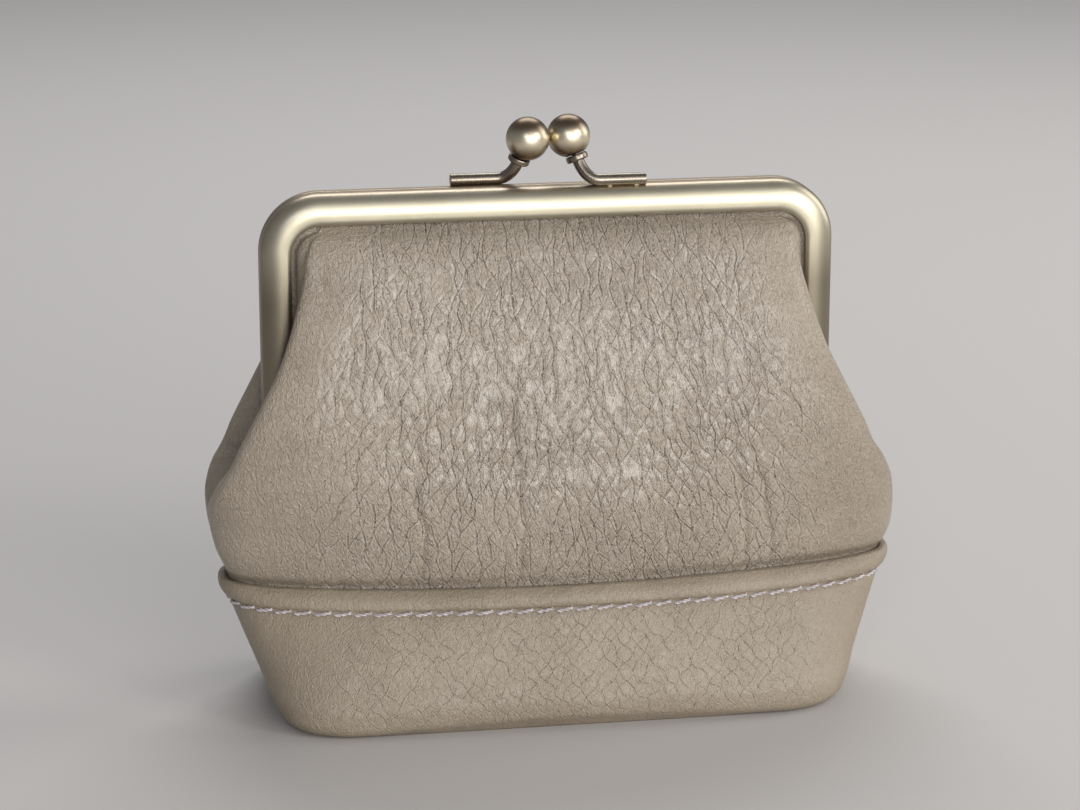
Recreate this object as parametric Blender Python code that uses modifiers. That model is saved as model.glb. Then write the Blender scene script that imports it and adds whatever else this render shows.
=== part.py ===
"""Kiss-lock pouch: a leather pouch on a folded base, shut by a two-part metal frame with a ball clasp.

Metres, +Z up, +X along the frame's top bar, -Y towards the front, the underside on Z = 0.
"""

import math

import bmesh
import bpy
import numpy as np
from mathutils import Matrix, Vector

MM = 0.001

# Clearances
GAP = 0.3 * MM
SINK = 0.15 * MM

# Frame: one half is a channel of sheet metal bent to a U, open towards the leather
FRAME_WIDTH = 120.0 * MM
FRAME_TOP = 109.1 * MM
FRAME_CORNER = 12.5 * MM
FRAME_HEIGHT = 54.5 * MM
FACE_WIDTH = 6.2 * MM
HALF_DEPTH = 4.85 * MM
SHEET = 0.8 * MM
FACE_ROUND = 2.2 * MM
MATING_ROUND = 0.5 * MM
LIP_TURN = 0.4 * MM
LIP_HEIGHT = 0.8 * MM
CORNER_STEPS = 6

# Hinge: the ears at the leg ends and the rivet through them
EAR_RADIUS = 3.0 * MM
RIVET_RADIUS = 0.9 * MM
RIVET_HEAD_RADIUS = 1.9 * MM
RIVET_HEAD_HEIGHT = 0.9 * MM
RIVET_CROWN = 0.35 * MM

# Clasp: a rod soldered along the crown, bent up to a collar that carries the ball
BALL_RADIUS = 4.45 * MM
BALL_FLAT = 4.05 * MM
BALL_ACROSS = 4.5 * MM
BALL_LEAN = 1.1 * MM
BALL_RISE = 10.0 * MM
ROD_RADIUS = 1.25 * MM
ROD_END = 20.1 * MM
ROD_BEND = 10.6 * MM
ROD_INSET = 2.4 * MM
ROD_SWEEP = 2.6 * MM
STEM_IN = 1.65 * MM
STEM_BACK = 1.2 * MM
STEM_UP = 4.6 * MM
COLLAR_RADIUS = 2.3 * MM
COLLAR_HEIGHT = 1.4 * MM
COLLAR_ROUND = 0.3 * MM
SPIGOT_RADIUS = 0.9 * MM
SPIGOT_LENGTH = 3.0 * MM
SOLDER_RADIUS = 1.15 * MM
SOLDER_INNER = 12.4 * MM
SOLDER_OUTER = 18.0 * MM
SOLDER_SPREAD = 0.45 * MM

# Leather
PANEL_THICK = 1.2 * MM
BASE_THICK = 1.5 * MM
SIDE_REACH = 72.3 * MM
FRONT_REACH = 20.0 * MM
EDGE_IN_CHANNEL = 3.6 * MM
TUCK = 9.0 * MM
TUCK_GAP = 0.5 * MM
SEAM_ALLOWANCE = 4.0 * MM
SEAM_ROUND = 0.95 * MM
SWAY = 2.0 * MM

# Base
BELT_TOP = 28.6 * MM
BELT_HALF_WIDTH = 72.0 * MM
BASE_HALF_DEPTH = 28.8 * MM
ROLL_HEIGHT = 4.2 * MM
ROLL_BULGE = 0.55 * MM
ARCH_RISE = 1.3 * MM
ARCH_HALF_LENGTH = 46.0 * MM
QUARTER_STEPS = 11

# The panel below the legs' ends: height as a share of belt to leg end, then reach sideways and seam
# as shares of SIDE_REACH, and front and lobe as shares of FRONT_REACH.
LOBE_IN_BASE = 0.12
LOWER_ROWS = (
    # height, side, front, lobe, seam
    (0.11, 0.972, 0.950, 0.15, 0.972),
    (0.28, 0.993, 0.985, 0.18, 0.993),
    (0.47, 1.000, 1.000, 0.22, 0.999),
    (0.61, 0.996, 0.995, 0.31, 0.978),
    (0.74, 0.981, 0.980, 0.41, 0.920),
    (0.85, 0.961, 0.962, 0.48, 0.845),
    (0.925, 0.942, 0.942, 0.52, 0.768),
)

# The panel beside the legs: height as a share of leg end to lip, then side as a share of SIDE_REACH,
# front and lobe as shares of FRONT_REACH, and how much of the edge lies in the channel.
UPPER_ROWS = (
    # height, side, front, lobe, held
    (-0.012, 0.930, 0.930, 0.54, 0.0),
    (0.080, 0.902, 0.900, 0.57, 0.0),
    (0.165, 0.872, 0.870, 0.59, 1.0),
    (0.290, 0.828, 0.820, 0.59, 1.0),
    (0.430, 0.782, 0.750, 0.57, 1.0),
    (0.570, 0.748, 0.675, 0.53, 1.0),
    (0.690, 0.724, 0.595, 0.47, 1.0),
    (0.790, 0.707, 0.520, 0.42, 1.0),
    (0.875, 0.697, 0.445, 0.365, 1.0),
    (0.935, 0.681, 0.335, 0.300, 1.0),
    (0.968, 0.660, 0.195, 0.190, 1.0),
)
FRONT_STEPS = 6
LOBE_STEPS = 4
NECK_STEPS = 2

# Rings of the base: height as a share of the roll's foot, half-width as a share of BELT_HALF_WIDTH,
# half-depth as a share of BASE_HALF_DEPTH, power along, power across, and share of the arch.
BASE_RINGS = (
    # height, width, depth, along, across, arch
    (0.000, 0.775, 0.900, 8.0, 0.20, 0.0),
    (0.028, 0.808, 0.962, 8.0, 0.20, 1.0),
    (0.095, 0.833, 0.993, 8.0, 0.20, 0.8),
    (0.205, 0.853, 1.000, 7.0, 0.21, 0.3),
    (0.410, 0.883, 0.960, 5.0, 0.25, 0.0),
    (0.655, 0.921, 0.890, 3.6, 0.29, 0.0),
    (0.900, 0.958, 0.808, 2.3, 0.33, 0.0),
    (1.000, 0.973, 0.770, 1.9, 0.345, 0.0),
)
ROLL_POWERS = (1.5, 0.365)
ROLL_TOP_DEPTH = 0.720

HALF_WIDTH = FRAME_WIDTH / 2
BALL_HEIGHT = FRAME_TOP + BALL_RISE
HALF_GAP = GAP / 2
LEG_END = FRAME_TOP - FRAME_HEIGHT
HINGE_Z = LEG_END + EAR_RADIUS
LIP_Z = FRAME_TOP - FACE_WIDTH
FRONT_FACE = HALF_GAP + HALF_DEPTH
CORNER_X = HALF_WIDTH - FRAME_CORNER
CORNER_Z = FRAME_TOP - FRAME_CORNER
PANEL_IN_CHANNEL = FRONT_FACE - SHEET - (HALF_DEPTH - 2 * SHEET) / 2
LIP_BEND = GAP + PANEL_THICK / 2 + LIP_TURN + SHEET / 2
SEAM_Y = HALF_GAP + PANEL_THICK / 2


def cleared_scene():
    """Removes whatever the scene holds and gives it its two collections."""
    for thing in list(bpy.data.objects):
        bpy.data.objects.remove(thing, do_unlink=True)
    pouch = bpy.data.collections.new("Kiss-lock pouch")
    cutters = bpy.data.collections.new("Cutters")
    cutters.hide_render = True
    for collection in (pouch, cutters):
        bpy.context.scene.collection.children.link(collection)
    return pouch, cutters


def material(name, color, roughness, metallic):
    """A plain Principled material."""
    made = bpy.data.materials.new(name)
    made.use_nodes = True
    shader = made.node_tree.nodes["Principled BSDF"]
    shader.inputs["Base Color"].default_value = (*color, 1.0)
    shader.inputs["Roughness"].default_value = roughness
    shader.inputs["Metallic"].default_value = metallic
    made.diffuse_color = (*color, 1.0)
    return made


def placed(name, mesh, collection):
    """A new object of this mesh in this collection."""
    thing = bpy.data.objects.new(name, mesh)
    collection.objects.link(thing)
    return thing


def mesh_of(name, points, faces):
    """A mesh with its faces turned outwards."""
    mesh = bpy.data.meshes.new(name)
    mesh.from_pydata([tuple(point) for point in points], [], faces)
    work = bmesh.new()
    work.from_mesh(mesh)
    bmesh.ops.recalc_face_normals(work, faces=work.faces)
    work.to_mesh(mesh)
    work.free()
    return mesh


def settled(thing):
    """Turns a curve or an object with modifiers into a plain mesh, its doubled points welded."""
    graph = bpy.context.evaluated_depsgraph_get()
    mesh = bpy.data.meshes.new_from_object(thing.evaluated_get(graph))
    mesh.transform(thing.matrix_world)
    work = bmesh.new()
    work.from_mesh(mesh)
    bmesh.ops.remove_doubles(work, verts=work.verts, dist=0.002 * MM)
    bmesh.ops.dissolve_degenerate(work, edges=work.edges, dist=0.002 * MM)
    bmesh.ops.recalc_face_normals(work, faces=work.faces)
    work.to_mesh(mesh)
    work.free()
    name = thing.name
    home = thing.users_collection[0]
    bpy.data.objects.remove(thing, do_unlink=True)
    return placed(name, mesh, home)


def combined(body, tools, operation):
    """The body after an exact Boolean with each tool in turn. The tools are used up."""
    for tool in tools:
        modifier = body.modifiers.new("Combine", "BOOLEAN")
        modifier.operation = operation
        modifier.solver = "EXACT"
        modifier.object = tool
        bpy.context.view_layer.update()
        body = settled(body)
        bpy.data.objects.remove(tool, do_unlink=True)
    return body


def half_turned(thing):
    """The object's mesh turned half round the upright axis."""
    thing.data.transform(Matrix.Rotation(math.pi, 4, "Z"))
    return thing


def smooth(thing, angle=35.0):
    """Shades a finished mesh smooth, keeping edges sharper than the angle."""
    for face in thing.data.polygons:
        face.use_smooth = True
    work = bmesh.new()
    work.from_mesh(thing.data)
    for edge in work.edges:
        edge.smooth = len(edge.link_faces) == 2 and edge.calc_face_angle(0.0) < math.radians(angle)
    work.to_mesh(thing.data)
    work.free()


def box(name, low, high, collection):
    """A box from one corner to the opposite one."""
    points = [(x, y, z) for x in (low[0], high[0]) for y in (low[1], high[1]) for z in (low[2], high[2])]
    faces = [(0, 1, 3, 2), (4, 6, 7, 5), (0, 4, 5, 1), (2, 3, 7, 6), (0, 2, 6, 4), (1, 5, 7, 3)]
    return placed(name, mesh_of(name, points, faces), collection)


def disc_across(name, radius, start, end, collection, steps=20):
    """A round bar along X on the hinge axis."""
    mesh = bpy.data.meshes.new(name)
    work = bmesh.new()
    middle = Matrix.Translation(((start + end) / 2, 0.0, HINGE_Z))
    bmesh.ops.create_cone(
        work,
        cap_ends=True,
        segments=steps,
        radius1=radius,
        radius2=radius,
        depth=abs(end - start),
        matrix=middle @ Matrix.Rotation(math.pi / 2, 4, "Y"),
    )
    work.to_mesh(mesh)
    work.free()
    return placed(name, mesh, collection)


def turned(name, profile, frame, collection, steps=24):
    """A solid of revolution: the profile (radius, height) turned by Screw about the frame's Z."""
    points = [(radius, 0.0, height) for radius, height in profile]
    mesh = bpy.data.meshes.new(name)
    mesh.from_pydata(points, [(i, i + 1) for i in range(len(points) - 1)], [])
    thing = placed(name, mesh, collection)
    screw = thing.modifiers.new("Turn", "SCREW")
    screw.axis = "Z"
    screw.steps = steps
    screw.render_steps = steps
    screw.use_merge_vertices = True
    screw.merge_threshold = 0.00001
    screw.use_normal_calculate = True
    bpy.context.view_layer.update()
    thing = settled(thing)
    thing.data.transform(frame)
    return thing


def arc(centre, radius, start, end, steps):
    """Points of an arc, angles in degrees."""
    angles = np.radians(np.linspace(start, end, steps + 1))
    return [(centre[0] + radius * math.cos(a), centre[1] + radius * math.sin(a)) for a in angles]


def poly_curve(name, points, closed, collection):
    """A flat poly curve in its own XY plane."""
    curve = bpy.data.curves.new(name, "CURVE")
    curve.dimensions = "2D"
    curve.fill_mode = "NONE"
    spline = curve.splines.new("POLY")
    spline.points.add(len(points) - 1)
    for spot, (x, y) in zip(spline.points, points):
        spot.co = (x, y, 0.0, 1.0)
    spline.use_cyclic_u = closed
    return placed(name, curve, collection)


def channel_outline():
    """The channel's section: (distance out from the frame's outer line, depth from the middle plane)."""
    near = HALF_GAP
    far = HALF_GAP + HALF_DEPTH
    inner_round = FACE_ROUND - SHEET
    outline = [(-FACE_WIDTH, near)]
    outline += arc((-MATING_ROUND, near + MATING_ROUND), MATING_ROUND, -90, 0, 2)
    outline += arc((-FACE_ROUND, far - FACE_ROUND), FACE_ROUND, 0, 90, 5)
    outline += [(LIP_HEIGHT - FACE_WIDTH, far), (-FACE_WIDTH, far - LIP_TURN)]
    outline += [(-FACE_WIDTH, far - LIP_TURN - SHEET), (LIP_HEIGHT - FACE_WIDTH, far - SHEET)]
    outline += arc((-FACE_ROUND, far - FACE_ROUND), inner_round, 90, 0, 3)
    outline += [(-SHEET, near + SHEET), (-FACE_WIDTH, near + SHEET)]
    return outline


def frame_line():
    """The U of the frame's outer line, (x, z), from the left leg's end to the right one's."""
    line = [(-HALF_WIDTH, LEG_END)]
    line += arc((-CORNER_X, CORNER_Z), FRAME_CORNER, 180, 90, CORNER_STEPS)
    line += arc((CORNER_X, CORNER_Z), FRAME_CORNER, 90, 0, CORNER_STEPS)
    line += [(HALF_WIDTH, LEG_END)]
    return line


def channel(name, collection, cutters):
    """The front half's channel, its section swept along the U."""
    outline = [(-across, depth) for across, depth in channel_outline()]
    profile = poly_curve("section", outline, True, cutters)
    spine = poly_curve(name, frame_line(), False, collection)
    spine.data.bevel_mode = "OBJECT"
    spine.data.bevel_object = profile
    spine.data.use_fill_caps = True
    spine.matrix_world = Matrix.Rotation(math.pi / 2, 4, "X")
    bpy.context.view_layer.update()
    swept = settled(spine)
    bpy.data.objects.remove(profile, do_unlink=True)
    return swept


def stem_frame():
    """The clasp stem's own frame: its origin at the ball's centre, its Z up along the stem."""
    centre = Vector((BALL_ACROSS, BALL_LEAN, BALL_HEIGHT))
    axis = Vector((-STEM_IN, STEM_BACK, STEM_UP)).normalized()
    return Matrix.Translation(centre) @ axis.to_track_quat("Z", "X").to_matrix().to_4x4(), axis


def collar_and_spigot(collection):
    """The turned end of the stem: collar, then the spigot inside the ball."""
    frame, _ = stem_frame()
    top = -(BALL_FLAT + GAP)
    foot = top - COLLAR_HEIGHT
    profile = (
        (0.0, top + SPIGOT_LENGTH),
        (SPIGOT_RADIUS, top + SPIGOT_LENGTH),
        (SPIGOT_RADIUS, top),
        (COLLAR_RADIUS - COLLAR_ROUND, top),
        (COLLAR_RADIUS, top - COLLAR_ROUND),
        (COLLAR_RADIUS, foot + COLLAR_ROUND),
        (COLLAR_RADIUS - COLLAR_ROUND, foot),
        (0.0, foot),
    )
    return turned("collar", profile, frame, collection, 12)


def clasp_rod(collection):
    """The rod lying along the crown and bent up to the collar."""
    frame, axis = stem_frame()
    tip = frame.translation - axis * (BALL_FLAT + GAP + COLLAR_HEIGHT / 2)
    height = FRAME_TOP + ROD_RADIUS - SINK
    curve = bpy.data.curves.new("rod", "CURVE")
    curve.dimensions = "3D"
    curve.bevel_depth = ROD_RADIUS
    curve.bevel_resolution = 3
    curve.use_fill_caps = True
    curve.resolution_u = 6
    spline = curve.splines.new("BEZIER")
    spline.bezier_points.add(2)
    along = Vector((ROD_SWEEP, 0.0, 0.0))
    spots = (
        (Vector((ROD_END, -ROD_INSET, height)), -along),
        (Vector((ROD_BEND, -ROD_INSET, height)), -along),
        (tip, axis * ROD_SWEEP),
    )
    for point, (place, heading) in zip(spline.bezier_points, spots):
        point.handle_left_type = "FREE"
        point.handle_right_type = "FREE"
        point.co = place
        point.handle_left = place - heading
        point.handle_right = place + heading
    rod = placed("rod", curve, collection)
    bpy.context.view_layer.update()
    return settled(rod)


def solder(name, across, collection):
    """A low bead of solder under the rod."""
    mesh = bpy.data.meshes.new(name)
    work = bmesh.new()
    place = Matrix.Translation((across, -(ROD_INSET + SOLDER_SPREAD), FRAME_TOP))
    bmesh.ops.create_uvsphere(work, u_segments=8, v_segments=5, radius=SOLDER_RADIUS, matrix=place)
    work.to_mesh(mesh)
    work.free()
    return placed(name, mesh, collection)


def half_frame(name, collection, cutters):
    """One half of the frame, as it sits at the front: channel, hinge ears, rod and collar in one solid."""
    half = channel(name, collection, cutters)
    wall_inside = HALF_WIDTH - SHEET
    inner_ear = wall_inside - GAP
    clear_radius = EAR_RADIUS + GAP
    wall_cut_top = HINGE_Z + clear_radius
    cuts = []
    for side in (-1, 1):
        cuts.append(
            box(
                "mating_wall_cut",
                (side * (HALF_WIDTH - FACE_WIDTH - GAP), -(HALF_GAP + SHEET + GAP / 3), LEG_END - EAR_RADIUS),
                (side * (wall_inside + SHEET / 8), GAP, wall_cut_top),
                cutters,
            )
        )
    cuts.append(disc_across("ear_clearance", clear_radius, -HALF_WIDTH - SHEET, -wall_inside + GAP / 2, cutters))
    half = combined(half, cuts, "DIFFERENCE")
    arm = box(
        "ear_arm",
        (-inner_ear, -(FRONT_FACE - SHEET * 0.7), HINGE_Z - EAR_RADIUS * 0.8),
        (SHEET - inner_ear, 0.0, HINGE_Z + EAR_RADIUS * 0.8),
        cutters,
    )
    ears = [
        disc_across("outer_ear", EAR_RADIUS, wall_inside, HALF_WIDTH, cutters),
        disc_across("inner_ear", EAR_RADIUS, -inner_ear, SHEET - inner_ear, cutters),
        arm,
    ]
    half = combined(half, ears, "UNION")
    bore = RIVET_RADIUS + GAP
    holes = [
        disc_across("outer_hole", bore, wall_inside - GAP / 2, HALF_WIDTH + SHEET, cutters, 16),
        disc_across("inner_hole", bore, -inner_ear - GAP / 2, SHEET - inner_ear + GAP / 2, cutters, 16),
    ]
    half = combined(half, holes, "DIFFERENCE")
    clasp = [
        clasp_rod(cutters),
        collar_and_spigot(cutters),
        solder("inner_solder", SOLDER_INNER, cutters),
        solder("outer_solder", SOLDER_OUTER, cutters),
    ]
    return combined(half, clasp, "UNION")


def clasp_ball(name, collection):
    """A clasp ball, flat where it meets the collar, bored for the spigot."""
    frame, _ = stem_frame()
    bore = SPIGOT_RADIUS + GAP
    bore_end = -(BALL_FLAT + GAP) + SPIGOT_LENGTH + GAP
    flat_angle = math.degrees(math.asin(BALL_FLAT / BALL_RADIUS))
    profile = arc((0.0, 0.0), BALL_RADIUS, 90, -flat_angle, 10)
    profile += [(bore, -BALL_FLAT), (bore, bore_end), (0.0, bore_end)]
    profile[0] = (0.0, BALL_RADIUS)
    return turned(name, profile, frame, collection, 20)


def hinge_rivet(name, side, collection):
    """A rivet through the two ears on one side: a low domed head outside, another inside."""
    face = HALF_WIDTH + GAP
    back = HALF_WIDTH - 2 * SHEET - 2 * GAP
    crown = face + RIVET_HEAD_HEIGHT
    rim = RIVET_HEAD_RADIUS - RIVET_CROWN
    profile = (
        (0.0, crown),
        (rim * 0.6, crown - RIVET_CROWN / 4),
        (rim, crown - RIVET_CROWN * 0.7),
        (RIVET_HEAD_RADIUS, face + RIVET_CROWN / 2),
        (RIVET_HEAD_RADIUS, face),
        (RIVET_RADIUS, face),
        (RIVET_RADIUS, back),
        (RIVET_HEAD_RADIUS, back),
        (RIVET_HEAD_RADIUS, back - RIVET_HEAD_HEIGHT + RIVET_CROWN),
        (rim, back - RIVET_HEAD_HEIGHT),
        (0.0, back - RIVET_HEAD_HEIGHT),
    )
    frame = Matrix.Translation((0.0, 0.0, HINGE_Z)) @ Matrix.Rotation(side * math.pi / 2, 4, "Y")
    return turned(name, profile, frame, collection, 16)


def sway(height):
    """How far the soft body stands off to the right at this height: most at the belt, none at the legs."""
    if height < BELT_TOP:
        return SWAY * (0.3 + 0.7 * height / BELT_TOP)
    share = min((height - BELT_TOP) / (LEG_END - 2 * GAP - BELT_TOP), 1.0)
    return SWAY * (1 - share * share * (3 - 2 * share))


def resampled(points, steps):
    """The same line with this many steps, spread half by its length and half by how much it turns."""
    points = np.asarray(points, float)
    leaps = np.diff(points, axis=0)
    lengths = np.r_[0.0, np.cumsum(np.linalg.norm(leaps, axis=1))]
    headings = np.unwrap(np.arctan2(leaps[:, 1], leaps[:, 0]))
    turns = np.r_[0.0, 0.0, np.cumsum(np.abs(np.diff(headings)))]
    measure = lengths / lengths[-1] + turns / max(turns[-1], 0.01)
    wanted = np.linspace(0.0, measure[-1], steps + 1)
    return np.stack([np.interp(wanted, measure, points[:, k]) for k in range(points.shape[1])], axis=1)


def bulge_line(width, depth, side_depth, along, across, steps):
    """From the front's middle (0, depth) round to the side (width, side_depth), in equal steps."""
    angles = np.linspace(math.pi / 2, 0.0, 121)
    cosine = np.clip(np.cos(angles), 0.0, 1.0)
    sine = np.clip(np.sin(angles), 0.0, 1.0)
    x = width * cosine ** (2 / along)
    y = side_depth + (depth - side_depth) * sine ** (2 * across)
    return resampled(np.stack([x, y], axis=1), steps)


def moved_in(line, distance):
    """A line from the front's middle to the side, moved inwards by the distance."""
    ahead = np.gradient(line, axis=0)
    ahead[0] = (1.0, 0.0)
    ahead[-1] = (0.0, -1.0)
    ahead /= np.linalg.norm(ahead, axis=1)[:, None]
    return line + distance * np.column_stack([ahead[:, 1], -ahead[:, 0]])


def bezier(start, start_pull, end, end_pull, steps):
    """Points of a cubic from start to end, leaving out the start."""
    share = np.linspace(0.0, 1.0, steps + 1)[1:, None]
    start, end = np.asarray(start), np.asarray(end)
    first, second = start + np.asarray(start_pull), end - np.asarray(end_pull)
    rest = 1 - share
    return rest**3 * start + 3 * rest**2 * share * first + 3 * rest * share**2 * second + share**3 * end


def corner_reach(inset, height):
    """How far out the frame's line, moved in by the inset, lies at this height."""
    over = max(height - CORNER_Z, 0.0)
    radius = FRAME_CORNER - inset
    return CORNER_X + math.sqrt(max(radius**2 - over**2, 0.0))


def half_row(side, front, lobe, power, neck, knee, edge, height):
    """One row of a panel from its middle to one side edge: (x, depth, height) points.

    It bulges from the middle to the lobe, comes back to the neck, rounds the knee and ends at the edge.
    """
    line = bulge_line(side, front, lobe, power[0], power[1], FRONT_STEPS)
    return row_from(line, neck, knee, edge, height)


def row_from(line, neck, knee, edge, height):
    """The front part of a row carried on round the neck and the knee to the edge."""
    drop = max(line[-1][1] - neck[1], GAP)
    line = np.vstack([line, bezier(line[-1], (0.0, -0.45 * drop), neck, (0.0, -0.5 * drop), LOBE_STEPS)])
    turn = abs(neck[1] - knee[1])
    across = knee[0] - neck[0]
    line = np.vstack([line, bezier(neck, (0.0, -0.55 * turn), knee, (0.55 * across, 0.0), NECK_STEPS)])
    line = np.vstack([line, [edge]])
    return np.column_stack([line, np.full(len(line), height)])


def tucked_rows():
    """The rows inside the base, which follow its wall at an even distance."""
    inset = BASE_THICK + TUCK_GAP + PANEL_THICK / 2
    rows = []
    for height in (BELT_TOP - TUCK, BELT_TOP - TUCK / 2, BELT_TOP):
        wall = moved_in(bulge_line(*base_outline(height), 60), inset)
        side = wall[-1][0]
        lobe = FRONT_REACH * LOBE_IN_BASE
        line = resampled(np.vstack([wall[wall[:, 1] > lobe], [(side, lobe)]]), FRONT_STEPS)
        neck = (side, SEAM_Y + SEAM_ROUND)
        knee = (side - SEAM_ROUND, SEAM_Y)
        edge = (side - SEAM_ALLOWANCE, SEAM_Y)
        rows.append(row_from(line, neck, knee, edge, height))
    return rows


def lower_rows():
    """The rows between the base and the legs' ends, closed by a seam at each side."""
    rows = []
    for share, side, front, lobe, seam in LOWER_ROWS:
        height = BELT_TOP + share * (LEG_END - BELT_TOP)
        seam_x = SIDE_REACH * seam
        neck = (seam_x, SEAM_Y + SEAM_ROUND)
        knee = (seam_x - SEAM_ROUND, SEAM_Y)
        edge = (seam_x - SEAM_ALLOWANCE, SEAM_Y)
        power = (1.6 + 0.5 * share, 0.39 + 0.08 * share)
        sizes = (SIDE_REACH * side, FRONT_REACH * front, FRONT_REACH * lobe)
        rows.append(half_row(*sizes, power, neck, knee, edge, height))
    return rows


def neck_points(height, held):
    """Neck, knee and edge beside a leg: in the channel where held, else turned inwards at the middle."""
    lip = corner_reach(FACE_WIDTH, height)
    neck_x = corner_reach(FACE_WIDTH + LIP_BEND, height)
    neck = (neck_x, FRONT_FACE - SHEET)
    if held:
        knee = (lip, PANEL_IN_CHANNEL)
        edge = (corner_reach(FACE_WIDTH - EDGE_IN_CHANNEL, height), PANEL_IN_CHANNEL)
    else:
        knee = (neck_x - SEAM_ROUND, SEAM_Y)
        edge = (neck_x - SEAM_ALLOWANCE, SEAM_Y)
    return neck, knee, edge


def upper_rows():
    """The rows beside the legs, up to just under the crown's lip."""
    rows = []
    for share, side, front, lobe, held in UPPER_ROWS:
        height = LEG_END + share * (LIP_Z - LEG_END)
        neck, knee, edge = neck_points(height, held)
        power = (2.1 + 0.8 * share, 0.47)
        side_x = min(SIDE_REACH * side, neck[0] - GAP) if height > CORNER_Z else SIDE_REACH * side
        rows.append(half_row(side_x, FRONT_REACH * front, FRONT_REACH * lobe, power, neck, knee, edge, height))
    return rows


def crown_rows():
    """The rows inside the crown's channel."""
    count = FRONT_STEPS + LOBE_STEPS + NECK_STEPS + 2
    rows = []
    for height in (LIP_Z, LIP_Z + EDGE_IN_CHANNEL * 0.4, LIP_Z + EDGE_IN_CHANNEL):
        reach = corner_reach(FACE_WIDTH - EDGE_IN_CHANNEL, height)
        x = np.linspace(0.0, reach, count)
        rows.append(np.column_stack([x, np.full(count, PANEL_IN_CHANNEL), np.full(count, height)]))
    return rows


def panel(name, side, collection):
    """A leather panel, front for side 1 and back for -1: one wall, lofted through its rows, then thickened."""
    rows = tucked_rows() + lower_rows() + upper_rows() + crown_rows()
    points = []
    for row in rows:
        left = row[:0:-1] * (-1, 1, 1)
        whole = np.vstack([left, row])
        points += [(side * x + sway(height), -side * depth, height) for x, depth, height in whole]
    across = 2 * len(rows[0]) - 1
    faces = []
    for level in range(len(rows) - 1):
        for step in range(across - 1):
            spot = level * across + step
            faces.append((spot, spot + 1, spot + across + 1, spot + across))
    mesh = bpy.data.meshes.new(name)
    mesh.from_pydata(points, [], faces)
    thing = placed(name, mesh, collection)
    wall = thing.modifiers.new("Wall", "SOLIDIFY")
    wall.thickness = PANEL_THICK
    wall.offset = 0.0
    wall.use_even_offset = True
    wall.use_quality_normals = True
    bpy.context.view_layer.update()
    return settled(thing)


def base_outline(height):
    """The base's outside at this height, as bulge_line takes it."""
    width, depth, along, across = base_section(height)
    return width, depth, 0.0, along, across


def base_section(height):
    """Half-width, half-depth and the two powers of the base's outside at this height."""
    foot = BELT_TOP - ROLL_HEIGHT
    rings = [
        (share * foot, width * BELT_HALF_WIDTH, depth * BASE_HALF_DEPTH, along, across)
        for share, width, depth, along, across, _ in BASE_RINGS
    ]
    rings.append((BELT_TOP, BELT_HALF_WIDTH, ROLL_TOP_DEPTH * BASE_HALF_DEPTH, *ROLL_POWERS))
    table = np.array(rings)
    return [float(np.interp(height, table[:, 0], table[:, k])) for k in range(1, 5)]


def base_ring(height, inset, arch):
    """A closed ring of the base at this height, moved in by the inset."""
    depth = base_section(height)[1]
    fine = moved_in(bulge_line(*base_outline(height), 8 * QUARTER_STEPS), inset)
    quarter = resampled(fine, QUARTER_STEPS)[::-1]
    right = np.vstack([quarter, quarter[-2::-1] * (-1, 1)])
    ring = np.vstack([right, right[-2:0:-1] * (1, -1)])
    along_arch = np.clip(1 - (np.abs(ring[:, 0]) / ARCH_HALF_LENGTH) ** 2, 0.0, 1.0)
    across_arch = np.clip(np.abs(ring[:, 1]) / depth * 2 - 1, 0.0, 1.0)
    rise = ARCH_RISE * arch * along_arch * across_arch
    ring[:, 0] += sway(height)
    return np.column_stack([ring, height + rise])


def base_cup(name, collection):
    """The base: one leather wall with a flat underside and a folded edge round its top."""
    foot = BELT_TOP - ROLL_HEIGHT
    rings = [base_ring(share * foot, 0.0, arch) for share, _, _, _, _, arch in BASE_RINGS]
    for share, bulge in ((0.18, 0.7), (0.45, 1.0), (0.78, 0.8)):
        rings.append(base_ring(foot + share * ROLL_HEIGHT, -bulge * ROLL_BULGE, 0.0))
    rings.append(base_ring(BELT_TOP, BASE_THICK * 0.35, 0.0))
    rings.append(base_ring(BELT_TOP - ROLL_HEIGHT * 0.12, BASE_THICK, 0.0))
    for share in (0.98, 0.66, 0.36):
        rings.append(base_ring(share * foot, BASE_THICK, 0.0))
    rings.append(base_ring(BASE_THICK * 2.2, BASE_THICK, 0.0))
    low = base_ring(0.0, BASE_THICK * 0.5, 0.0)
    low[:, 2] = BASE_THICK
    rings.append(low)
    count = len(rings[0])
    points = np.vstack(rings)
    faces = []
    for level in range(len(rings) - 1):
        for step in range(count):
            spot, beside = level * count + step, level * count + (step + 1) % count
            faces.append((spot, beside, beside + count, spot + count))
    faces.append(tuple(range(count))[::-1])
    faces.append(tuple(range(len(points) - count, len(points))))
    return placed(name, mesh_of(name, points, faces), collection)


def centred(things):
    """Moves every piece across together, so that the whole stands evenly about the middle."""
    reaches = [point.co.x for thing in things for point in thing.data.vertices]
    shift = Matrix.Translation((-(min(reaches) + max(reaches)) / 2, 0.0, 0.0))
    for thing in things:
        thing.data.transform(shift)


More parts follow.
